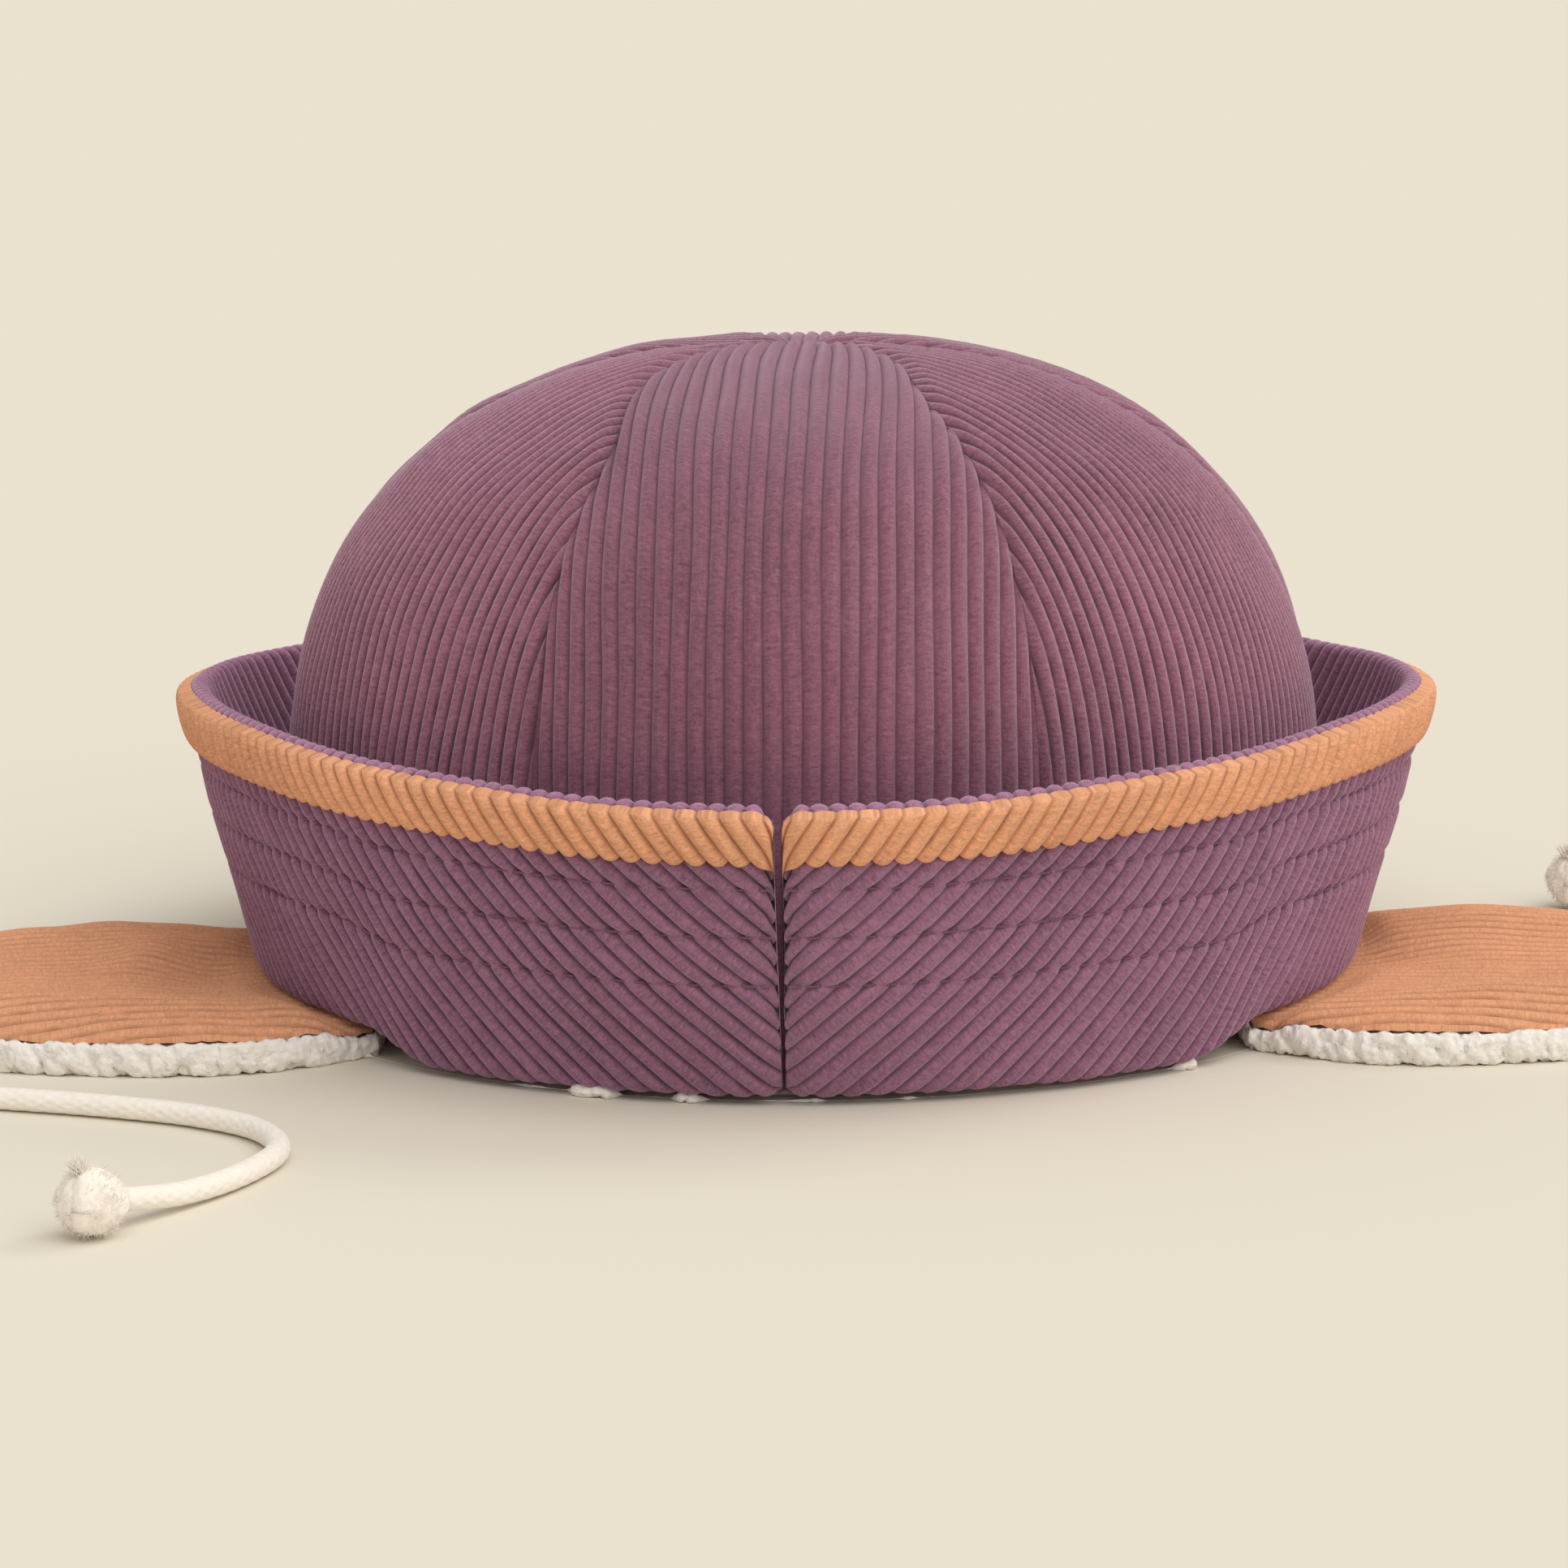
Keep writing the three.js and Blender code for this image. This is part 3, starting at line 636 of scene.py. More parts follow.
def flap_cover(side, azimuth, heading):
    """Middle and half-width, in azimuth, of where a flap lies under the hem or the fold."""
    start, along, across, length = flap_frame(side, azimuth, heading)
    turns = (np.arange(240) / 240 - 0.5) * 180
    inner, outer = HEM_RADIUS - PANEL_WALL - SHERPA, HEM_RADIUS + HEM_SPREAD + BRIM_WALL
    radii = np.array((inner, HEM_RADIUS, outer))
    place = polar(radii[:, None], azimuth + turns, 0) - start
    share = place @ along / length
    inside = (share >= 0) & (share <= 1) & (np.abs(place @ across) <= flap_half(share))
    covered = turns[inside.any(axis=0)]
    return azimuth + (covered[0] + covered[-1]) / 2, (covered[-1] - covered[0]) / 2


COVERS = [flap_cover(*flap[1:]) for flap in FLAPS]


def over_flap(azimuth):
    """How much a flap under the hem lifts it, 0 to 1."""
    beside = [np.abs(turn(middle, azimuth)) - half - LIFT_MARGIN for middle, half in COVERS]
    return 1 - smoothstep(np.minimum(*beside), 0, LIFT_FADE)


def lining_hem(azimuth):
    """Height of the lining's lower edge: 0 on the table, or on top of a flap."""
    return (PRESSED_SHERPA + FLAP_WALL + 2 * GAP) * over_flap(azimuth)


def fold_height(azimuth):
    """Height of the brim's fold."""
    return lining_hem(azimuth) + lerp(FOLD_HEIGHT, GAP, over_flap(azimuth))


def add_object(name, data):
    """A new object in the scene."""
    thing = bpy.data.objects.new(name, data)
    bpy.context.scene.collection.objects.link(thing)
    return thing


class Cloth:
    """Grids of points that become one mesh: each has its points in millimetres, its place on the
    flat cloth, across and along, which is kept as the UV map in millimetres, and the number of its
    material."""

    def __init__(self):
        self.points, self.places, self.faces, self.materials, self.count = [], [], [], [], 0

    def grid(self, points, across, along, inward, ring=False, material=0):
        """Adds a grid whose faces look away from inward. A ring's last row meets its first."""
        rows, columns = points.shape[:2]
        index = self.count + np.arange(rows * columns).reshape(rows, columns)
        if ring:
            index = np.vstack((index, index[:1]))
        quads = np.stack((index[:-1, :-1], index[:-1, 1:], index[1:, 1:], index[1:, :-1]), axis=-1)
        quads = quads.reshape(-1, 4)
        facing = np.cross(np.gradient(points, axis=1), np.gradient(points, axis=0))
        looks_in = np.sum(facing * inward) > 0
        self.points.append(points.reshape(-1, 3))
        self.places.append(np.stack(np.broadcast_arrays(across, along), axis=-1).reshape(-1, 2))
        self.faces.append(quads[:, ::-1] if looks_in else quads)
        self.materials.append(np.full(len(quads), material, np.int32))
        self.count += rows * columns

    def tucked(self, points, across, along, inward, depth, ends, material=0):
        """Adds a grid with one more ring of points at its ends, turned in by a depth along inward.
        The ends are given as before and after, for rows and for columns."""
        rows, columns = points.shape[:2]
        wide = (*ends, (0, 0))
        turned = np.pad(np.zeros((rows, columns, 1)), wide, constant_values=depth)
        around = np.pad(inward, wide, mode="edge")
        across, along = (
            np.pad(np.broadcast_to(values, (rows, columns)), ends, mode="edge")
            for values in (across, along)
        )
        points = np.pad(points, wide, mode="edge") + around * turned
        self.grid(points, across, along, around, material=material)

    def mesh(self, name):
        """Makes the object, in metres, without faces that shrink to a line."""
        points = np.concatenate(self.points) * MM
        places = np.concatenate(self.places)
        faces = np.concatenate(self.faces)
        corners = points[faces]
        spans = np.cross(corners[:, 2] - corners[:, 0], corners[:, 3] - corners[:, 1])
        whole = np.linalg.norm(spans, axis=1) > 1e-11
        faces = faces[whole]
        mesh = bpy.data.meshes.new(name)
        mesh.vertices.add(len(points))
        mesh.vertices.foreach_set("co", points.ravel())
        mesh.loops.add(faces.size)
        mesh.loops.foreach_set("vertex_index", faces.ravel())
        mesh.polygons.add(len(faces))
        mesh.polygons.foreach_set("loop_start", np.arange(0, faces.size, 4))
        mesh.polygons.foreach_set("use_smooth", np.ones(len(faces), bool))
        mesh.polygons.foreach_set("material_index", np.concatenate(self.materials)[whole])
        layer = mesh.uv_layers.new(name="UVMap")
        layer.uv.foreach_set("vector", places[faces.ravel()].ravel())
        mesh.update(calc_edges=True)
        mesh.validate()
        return add_object(name, mesh)


def unit(vectors):
    """The vectors at length 1."""
    return vectors / (np.linalg.norm(vectors, axis=-1, keepdims=True) + 1e-12)


def shader_group(name, inputs, outputs):
    """A new shader node group with its sockets, each (name, kind, default)."""
    group = bpy.data.node_groups.new(name, "ShaderNodeTree")
    for label, kind, default in inputs:
        socket = group.interface.new_socket(label, in_out="INPUT", socket_type=f"NodeSocket{kind}")
        socket.default_value = default
    for label, kind in outputs:
        group.interface.new_socket(label, in_out="OUTPUT", socket_type=f"NodeSocket{kind}")
    return group


class Wiring:
    """Adds nodes to a tree and links them: an input is given as a socket or as a value."""

    def __init__(self, tree):
        self.tree = tree
        tree.nodes.clear()

    def put(self, socket, value):
        """Links an input to a socket, or sets its value."""
        if isinstance(value, bpy.types.NodeSocket):
            self.tree.links.new(value, socket)
        else:
            socket.default_value = value

    def node(self, kind, inputs=(), **settings):
        """A new node of a kind with its inputs and settings."""
        node = self.tree.nodes.new(kind if kind.startswith("Node") else f"ShaderNode{kind}")
        for key, value in settings.items():
            setattr(node, key, value)
        for key, value in dict(inputs).items():
            self.put(node.inputs[key], value)
        return node

    def math(self, operation, a, b=0.0):
        """The result of an operation on one or two values."""
        return self.node("Math", {0: a, 1: b}, operation=operation).outputs[0]

    def add(self, a, b):
        return self.math("ADD", a, b)

    def times(self, a, b):
        return self.math("MULTIPLY", a, b)

    def place(self, x, y):
        """A point on the flat cloth."""
        return self.node("CombineXYZ", {"X": x, "Y": y}).outputs[0]

    def on_object(self):
        """The point's place on its object."""
        return self.node("TexCoord").outputs["Object"]

    def noise(self, vector, scale, detail, roughness):
        inputs = {"Vector": vector, "Scale": scale, "Detail": detail, "Roughness": roughness}
        return self.node("TexNoise", inputs).outputs["Fac"]

    def mix(self, factor, a, b, blend="MIX"):
        inputs = {0: factor, 6: a, 7: b}
        return self.node("Mix", inputs, data_type="RGBA", blend_type=blend).outputs[2]

    def spread(self, value, low, high, to_low=0.0, to_high=1.0):
        """The value stretched from one range to another, and kept in it."""
        ends = {"From Min": low, "From Max": high, "To Min": to_low, "To Max": to_high}
        return self.node("MapRange", {"Value": value, **ends}, clamp=True).outputs[0]

    def bump(self, strength, distance, height):
        inputs = {"Strength": strength, "Distance": distance * MM, "Height": height}
        return self.node("Bump", inputs).outputs[0]

    def surface(self, **inputs):
        """Ends a material in a Principled shader. An underscore stands for a blank in a name."""
        named = {key.replace("_", " "): value for key, value in inputs.items()}
        shader = self.node("BsdfPrincipled", {"Specular IOR Level": 0.2, **named})
        self.node("OutputMaterial", {"Surface": shader.outputs[0]})


def corduroy_group():
    """Colour and fine height of corduroy from its place on the flat cloth in millimetres: the
    ground in the valleys darkened as painted shade, cut pile on the wales with a painted highlight
    along their edges, tone that changes from wale to wale and in streaks, and pressed patches."""
    if "corduroy" in bpy.data.node_groups:
        return bpy.data.node_groups["corduroy"]
    inputs = (
        ("Pile", "Color", (0.5, 0.5, 0.5, 1)),
        ("Ground", "Color", (0.1, 0.1, 0.1, 1)),
        ("Pitch", "Float", 3.175),
        ("Valley", "Float", 0.38),
        ("Unevenness", "Float", 1.0),
    )
    group = shader_group("corduroy", inputs, (("Color", "Color"), ("Height", "Float")))
    w = Wiring(group)
    given = w.node("NodeGroupInput").outputs
    place = w.node("UVMap", uv_map="UVMap").outputs[0]
    parts = w.node("SeparateXYZ", {0: place}).outputs
    x, y = parts["X"], parts["Y"]
    wales = w.math("DIVIDE", x, given["Pitch"])
    from_ridge = w.math("ABSOLUTE", w.math("SUBTRACT", w.math("FRACT", wales), 0.5))
    on_wale = w.place(w.math("FLOOR", wales), w.times(y, 0.03))
    # Noises: where, scale, detail, roughness, and share in the tone of the pile
    noises = {
        "wales": (on_wale, 1.7, 2.0, 0.6, 0.3),
        "streaks": (w.place(w.times(x, 1.6), w.times(y, 0.12)), 1.0, 3.0, 0.6, 0.4),
        "fibres": (place, 2.2, 4.0, 0.75, 1.3),
        "nap": (place, 0.8, 3.0, 0.7, 0.7),
        "patches": (w.on_object(), 26.0, 3.0, 0.55, 0.6),
        "rows": (w.place(w.times(x, 0.55), w.times(y, 1.7)), 1.0, 3.0, 0.65, 1.1),
    }
    noise = {name: w.noise(*noises[name][:4]) for name in noises}
    frayed = w.add(noise["rows"], noise["nap"])
    edge = w.add(from_ridge, w.times(w.math("SUBTRACT", frayed, 1.0), 0.13))
    valley = w.spread(edge, given["Valley"], 0.485)
    # Painted highlight: the pile is lighter along the flanks of the wales, more on some wales than
    # on others.
    highlight_patches = w.spread(w.noise(on_wale, 3.1, 2.0, 0.5), 0.5, 0.7)
    tone = w.times(w.times(w.spread(edge, 0.27, 0.39), highlight_patches), 0.3)
    for name, (*_, share) in noises.items():
        tone = w.add(w.times(w.math("SUBTRACT", noise[name], 0.5), share), tone)
    factor = w.add(w.times(given["Unevenness"], tone), 1.0)
    grey = w.node("CombineColor", {0: factor, 1: factor, 2: factor}).outputs[0]
    pile = w.mix(1.0, given["Pile"], grey, "MULTIPLY")
    # Painted shade: the valleys are mixed towards the darker ground, more on some wales than on
    # others.
    uneven_shade = w.spread(w.noise(on_wale, 5.3, 2.0, 0.6), 0.35, 0.65, 0.35, 1.0)
    colour_out = w.mix(w.times(valley, uneven_shade), pile, given["Ground"])
    height = w.add(w.times(noise["fibres"], 0.5), w.times(noise["rows"], 0.5))
    w.node("NodeGroupOutput", {"Color": colour_out, "Height": height})
    return group


def tinted(colour_name, shares=(1, 1, 1)):
    """One of the scene's colours times a share for red, green and blue, with an alpha."""
    base = getattr(bpy.context.scene.hat_colours, colour_name)
    return (*(c * share for c, share in zip(base, shares)), 1)


def corduroy(w, name):
    """A corduroy of CORDUROYS."""
    pile, lightness, ground, valley, sheen, tint, unevenness = CORDUROYS[name]
    # Painted light and shade: the lightness makes some pieces a lighter copy of the same colour, and
    # the ground share darkens the valleys.
    inputs = {
        "Pile": tinted(pile, [lightness] * 3),
        "Ground": tinted(pile, [lightness * ground] * 3),
        "Pitch": size("wale_pitch"),
        "Valley": valley,
        "Unevenness": unevenness,
    }
    cloth = w.node("Group", inputs, node_tree=corduroy_group()).outputs
    w.surface(
        Base_Color=cloth["Color"],
        Roughness=0.92,
        Normal=w.bump(0.6, 0.6, cloth["Height"]),
        Sheen_Weight=sheen,
        Sheen_Roughness=0.45,
        Sheen_Tint=(*tint, 1),
    )


def sherpa(w):
    """Curly off-white pile: fine curls as bump, with warm shade in the creases."""
    place = w.on_object()
    voronoi = w.node("TexVoronoi", {"Vector": place, "Scale": 900.0}, feature="SMOOTH_F1")
    loops = voronoi.outputs["Distance"]
    strands = w.noise(place, 2600.0, 3.0, 0.7)
    # Painted shade: the creases between the curls take a darker warm tint, and broad random patches
    # shift it too.
    broad_tone = w.noise(place, 120.0, 2.0, 0.5)
    mask = w.add(w.times(loops, 0.75), w.times(broad_tone, 0.25))
    shade = tinted("sherpa", (0.93, 0.905, 0.87))
    height = w.add(w.times(loops, -1.0), w.times(strands, 0.35))
    w.surface(
        Base_Color=w.mix(w.spread(mask, 0.25, 0.85), tinted("sherpa"), shade),
        Roughness=0.95,
        Normal=w.bump(0.9, 0.6, height),
        Sheen_Weight=0.4,
        Sheen_Roughness=0.5,
    )


def cotton(w):
    """Cream braided cotton: soft fibres and a little unevenness of tone."""
    place = w.on_object()
    tone = w.noise(place, 700.0, 3.0, 0.6)
    shade = tinted("cord", (0.95, 0.935, 0.91))
    w.surface(
        Base_Color=w.mix(w.spread(tone, 0.35, 0.7), tinted("cord"), shade),
        Roughness=0.85,
        Normal=w.bump(0.35, 0.25, w.noise(place, 2400.0, 2.0, 0.6)),
        Sheen_Weight=0.4,
    )


def thread(w):
    """Sewing thread a little darker than the brim."""
    twist = w.noise(w.on_object(), 3000.0, 1.0, 0.5)
    light, dark = tinted("brim", [0.8] * 3), tinted("brim", [0.8 * 0.7] * 3)
    w.surface(Base_Color=w.mix(twist, light, dark), Roughness=0.7)


def paper(w):
    """Matt paper in one pale colour."""
    w.surface(Base_Color=tinted("floor"), Roughness=0.95, Specular_IOR_Level=0.0)


MATERIALS = {
    "curly_sherpa": sherpa,
    "braided_cotton": cotton,
    "sewing_thread": thread,
    "floor_paper": paper,
}


def material(name):
    """The material of a name: one of CORDUROYS or MATERIALS, built when it is first asked for."""
    made = bpy.data.materials.get(name)
    if made is None:
        made = bpy.data.materials.new(name)
        made.use_nodes = True
        w = Wiring(made.node_tree)
        if name in CORDUROYS:
            corduroy(w, name)
        else:
            MATERIALS[name](w)
    return made


def finish_piece(piece, cloth, slot, *nodes):
    """Gives a piece the material of a name, puts it under the root body and hides the parts it
    stands for.
    """
    piece.data.materials.append(material(cloth))
    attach(piece, "root")
    if nodes:
        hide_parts(*nodes)


def meridian_rows(azimuth):
    """Arc length along the crown's meridian from the table to the top, with its t, and the dome's
    level there, which is 1 on the wall and shrinks a panel's width above it."""
    wall, above = (np.linspace(0, 1, steps) for steps in MERIDIAN_STEPS)
    t = np.concatenate((wall, 1 + above[1:] ** 1.3))
    radius, z = crown_meridian(np.full_like(t, azimuth), t)
    arc = np.concatenate(([0], np.cumsum(np.hypot(np.diff(radius), np.diff(z)))))
    level = np.cos(np.pi / 2 * np.clip(t - 1, 0, 1)).clip(0, 1) ** dome_exponent(azimuth)
    return arc, t, level


def panel_wales(middle, half_width, pitch, seams, drift, arc):
    """Places of grid columns across a crown panel, and the arcs at which each wale begins, on the
    hem or a seam, and ends on a seam."""
    low, high = sorted((0, -drift[-1]))
    columns = wale_columns(GAP / 2 - half_width + low, half_width - GAP / 2 + high, pitch)
    at = columns + drift[:, None]
    first, last = seams
    inside = (at > first[:, None] + GAP / 3) & (at < last[:, None] - GAP / 3)
    inside = inside & (arc < arc[-4])[:, None]
    foot = middle + np.degrees(np.clip(columns, -half_width, half_width) / CROWN_RADIUS)
    begin = np.maximum(arc[np.argmax(inside, axis=0)], fold_height(foot))
    end = arc[len(arc) - 1 - np.argmax(inside[::-1], axis=0)]
    whole = inside.any(axis=0) & (end - begin > 1)
    return columns[whole], begin[whole], end[whole]


def crown_panel(name, start, end):
    """One panel of the crown.

    A point at the angle a from the panel's middle, where the dome has shrunk to a level, stands
    R asin(level sin a) across the panel, R being CROWN_RADIUS. The wales are parallel there and
    drift off the middle by WALE_DRIFT: the tangent of its lean times the arc, and its bend times a
    smoothstep of the arc. They run from the hem or a seam to a seam. Columns follow the wales, and
    rows crowd towards their ends, where the cloth turns down by seam_roll exp(-(d / SEAM_REACH)^2).
    All panels but the front one have wales narrower by FINER_WALES, and their places on the flat
    cloth are stretched to match, so that one pitch serves the material.
    """
    middle, half_width = (start + end) / 2, np.radians((end - start) / 2) * CROWN_RADIUS
    narrowing = 1 if middle == 0 else FINER_WALES
    pitch = size("wale_pitch") * narrowing
    arc, t_of_arc, level = meridian_rows(middle)
    seams = [
        CROWN_RADIUS * np.arcsin(level * np.sin(np.radians(seam_at(seam, t_of_arc - 1) - middle)))
        for seam in (start, end)
    ]
    lean, bend = WALE_DRIFT.get(name, (0, 0))
    drift = np.tan(np.radians(lean)) * arc + bend * smoothstep(arc / arc[-1], *DRIFT_BEND)
    columns, *ends = panel_wales(middle, half_width, pitch, seams, drift, arc)
    rows = wale_rows(*ends, *PANEL_ROWS)
    at = columns + np.interp(rows, arc, drift)
    to_seam = np.full(rows.shape, float(FAR))
    for sign, seam in zip((1, -1), seams):
        steep = np.interp(rows, arc, np.gradient(seam - drift, arc))
        off = sign * (at - np.interp(rows, arc, seam)) / np.hypot(1, steep)
        to_seam = np.minimum(to_seam, np.maximum(off, 0))
    wander = uneven("wandering wales", rows, columns * 2.5, 100 + middle)
    bent = (at + smoothstep(to_seam, 0, WANDER_FADE) * wander) / CROWN_RADIUS
    across = np.sin(bent) / np.maximum(np.interp(rows, arc, level), TIP_LEVEL)
    azimuth = middle + np.degrees(np.arcsin(np.clip(across, -1, 1)))
    out = wale_height(columns, pitch, narrowing) + uneven("crown", rows, at, 200 + middle)
    out = out - size("seam_roll") * bell(to_seam, SEAM_REACH)
    t = np.interp(rows, arc, t_of_arc)
    points = crown_points(azimuth, t, out)
    inward = unit(crown_points(azimuth, t, out - 1) - points)
    cloth = Cloth()
    apart = (columns + 100 * pitch * middle) / narrowing
    cloth.tucked(points, apart, rows, inward, PANEL_WALL, ((1, 1), (1, 1)))
    # The side and back panels take a lighter copy of the front panel's cloth, as painted light.
    look = "front_panel_cloth" if middle == 0 else "crown_cloth"
    finish_piece(cloth.mesh(f"cloth_{name}"), look, "purple_corduroy", name)


def fringe(cloth):
    """The pile that looks out under the front hem: a tube whose radius follows ripples along it."""
    along, across = FRINGE_GRID
    around = np.linspace(-FRINGE_REACH, FRINGE_REACH, along)[:, None]
    turned = np.linspace(0, 2 * np.pi, across)
    place = FRINGE_SHARE * sum(bell(around - middle, wide) for middle, wide in FRINGE)
    shown = smoothstep(ripples(around, 0 * around, TUFT_LENGTH, 8) + place, *TUFT_RISE)
    radius, high, out = (lerp(*ends, shown) for ends in (TUFT_RADIUS, TUFT_HEIGHT, TUFT_OUT))
    centre = wall_radius(around, 3) + out
    points = polar(centre + radius * np.cos(turned), around, high + radius * np.sin(turned))
    outward = unit(polar(np.cos(turned) + 0 * around, around, np.sin(turned) + 0 * around))
    tufts = TUFT_PILE * shown * (curls(points, TUFT_CURL, 9) - 0.45)
    points = points + outward * tufts[..., None]
    points[..., 2] = np.maximum(points[..., 2], TUFT_LOWEST)
    cloth.grid(points, around, turned, -outward)


def crown_lining():
    """The lining: sherpa inside the crown from the top down to its tufted lower edge.

    The path of a section runs down the outside, round the hem and up the inside. The pile stands
    in by PILE curls() from the inside.
    """
    azimuth = np.linspace(0, 360, LINING_COLUMNS, endpoint=False)[:, None]
    hem = lining_hem(azimuth) / WIDEST_HEIGHT
    arc, t_of_arc, _ = meridian_rows(60)
    inside = np.interp(np.linspace(0, 1, INNER_ROWS) ** 0.9 * arc[-1] * 0.995, arc, t_of_arc)
    outer = lerp(2, hem, np.linspace(0, 1, OUTER_ROWS))
    t = np.concatenate((outer, lerp(hem, 2, inside / 2)), axis=1)
    is_inner = np.arange(OUTER_ROWS + INNER_ROWS) >= OUTER_ROWS
    depth = PANEL_WALL + GAP + SHERPA * is_inner
    base = crown_points(azimuth, t, -depth)
    inward = unit(crown_points(azimuth, t, -depth - 1) - base)
    pile = PILE * (curls(base, size("curl_size"), 5) - 0.5) * is_inner
    points = base + inward * pile[..., None]
    points[..., 2] = np.maximum(points[..., 2], SHERPA_LOWEST)
    cloth = Cloth()
    faces_in = inward * np.where(is_inner, -1, 1)[:, None]
    cloth.grid(points, azimuth, t * 50, faces_in, ring=True)
    fringe(cloth)
    piece = cloth.mesh("pile_crown_lining")
    finish_piece(piece, "curly_sherpa", "white_sherpa", "crown_lining")


def brim_points(azimuth, up, depth):
    """Points of a brim's wall: up along its slant from the fold and in from its outside, where the
    wall bows out by BRIM_BOW sin(pi up / slant)."""
    fold_z = fold_height(azimuth)
    fold_r = wall_radius(azimuth, fold_z + BRIM_WALL) + GAP + BRIM_WALL
    around = np.abs(turn(0, azimuth))
    rim_r = RIM_RADIUS * table_at(RIM, 1, around)
    rim_z = RIM_HEIGHT * table_at(RIM, 2, around)
    slant = np.hypot(rim_r - fold_r, rim_z - fold_z)
    out, rise = (rim_r - fold_r) / slant, (rim_z - fold_z) / slant
    depth = depth - BRIM_BOW * np.sin(np.pi * np.clip(up / slant, 0, 1))
    return polar(fold_r + up * out - depth * rise, azimuth, fold_z + up * rise + depth * out)


def brim_slant(azimuth, from_end):
    """Length of the brim's slant, lower near the ends of a half, where its corner is round:
    corner - sqrt(corner^2 - (corner - d)^2)."""
    low = brim_points(azimuth, 0, 0)
    top = brim_points(azimuth, 1, 0)
    rise = (top - low)[..., 2]
    around = np.abs(turn(0, azimuth))
    height = RIM_HEIGHT * table_at(RIM, 2, around) - fold_height(azimuth)
    past = np.clip(BRIM_CORNER - from_end, 0, BRIM_CORNER)
    return height / rise - BRIM_CORNER + np.sqrt(BRIM_CORNER**2 - past**2)


def brim_ribs(path, pitch):
    """Grid of a brim half along its ribs, with its rows at distances up the flat pattern.

    The pattern is a ring piece with its fold at the radius PATTERN_FOLD, and BRIM_TURN of its turn
    for each degree of azimuth. A rib at a distance u from the pattern's centre, leaning RIB_LEAN
    at the seam, passes the radius r at the turn RIB_LEAN + asin(u / r). Returns the azimuth from
    0 to 180, the distance up the pattern, u, and the distance along the rib.
    """
    lean, full = np.radians(RIB_LEAN), np.radians(BRIM_TURN * 180)
    top = PATTERN_FOLD + path.max()
    across = wale_columns(-top * np.sin(lean), top * np.sin(full - lean), pitch)
    entry = np.where(across < 0, -across / np.sin(lean), across / np.sin(full - lean))
    radius = np.maximum(PATTERN_FOLD + path[:, None], np.minimum(entry, top))
    azimuth = np.degrees(lean + np.arcsin(np.clip(across / radius, -1, 1))) / BRIM_TURN
    return azimuth, radius - PATTERN_FOLD, across, np.sqrt(radius**2 - across**2)


def half_azimuth(azimuth, share, jag=0.0):
    """Azimuths of a brim half moved off its two ends: by half of HALVES_GAP, by SEAM_OPENING more
    where the seam stands open in its upper part, and by the jag of each wale. Also the distance to
    the nearer end."""
    reach = np.radians(1) * MIDWAY_RADIUS
    from_end = np.minimum(azimuth, 180 - azimuth) * reach
    opening = HALVES_GAP / 2 + SEAM_OPENING * smoothstep(share, *OPENING_RISE)
    shift = opening * np.exp(-from_end / OPENING_FADE) + jag * np.exp(-from_end / JAG_FADE)
    return azimuth + np.where(azimuth < 90, shift, -shift) / reach, from_end


def off_wall(azimuth, up, depth, angle, out):
    """Points of a brim's wall moved a distance inwards, turned by an angle towards its top."""
    return brim_points(azimuth, up + out * np.sin(angle), depth + out * np.cos(angle))


def brim_outside(cloth, side):
    """The outer layer of a brim half, from under the band down and round the fold."""
    pitch = size("wale_pitch")
    half = BRIM_WALL / 2
    pressed = np.concatenate([BAND_FOOT - row + STITCH_PRESS for row in STITCH_ROWS])
    wall = np.linspace(0, FLAT_SLANT, BRIM_ROWS)
    wall = np.unique(np.concatenate((wall, pressed, BAND_FOOT + BAND_TUCK)).round(3))
    path = np.concatenate((np.linspace(-half * np.pi, 0, TURN_ROWS)[:-1], wall))
    azimuth, path, across, along = brim_ribs(path, pitch)
    share = path / FLAT_SLANT
    jag = SEAM_JAG * np.abs(2 * (across / pitch % 1) - 1) ** 2 * smoothstep(share, *JAG_RISE)
    azimuth, from_end = half_azimuth(azimuth, share, jag)
    azimuth = side * azimuth
    slant = brim_slant(azimuth, from_end)
    angle = np.clip(-path / half, 0, np.pi)
    up = half - half * np.sin(angle) + np.clip(share, 0, None) * (slant - half - BAND_SETBACK)
    depth = half - half * np.cos(angle)
    out = wale_height(across, pitch) + uneven("brim", along, across * np.ones_like(along), 31)
    for row in STITCH_ROWS:
        out = out - STITCH_DEPTH * bell(path - (BAND_FOOT - row), STITCH_WIDTH)
    out = out - SEAM_TURN * bell(from_end, TURN_REACH)
    out = out - UNDER_BAND * smoothstep(path, BAND_FOOT, BAND_FOOT + BAND_TUCK[-1])
    points = off_wall(azimuth, up, depth, angle, -out)
    inward = unit(off_wall(azimuth, up, depth, angle, 1 - out) - points)
    cloth.tucked(points, across, along, inward, half, ((1, 0), (1, 1)))


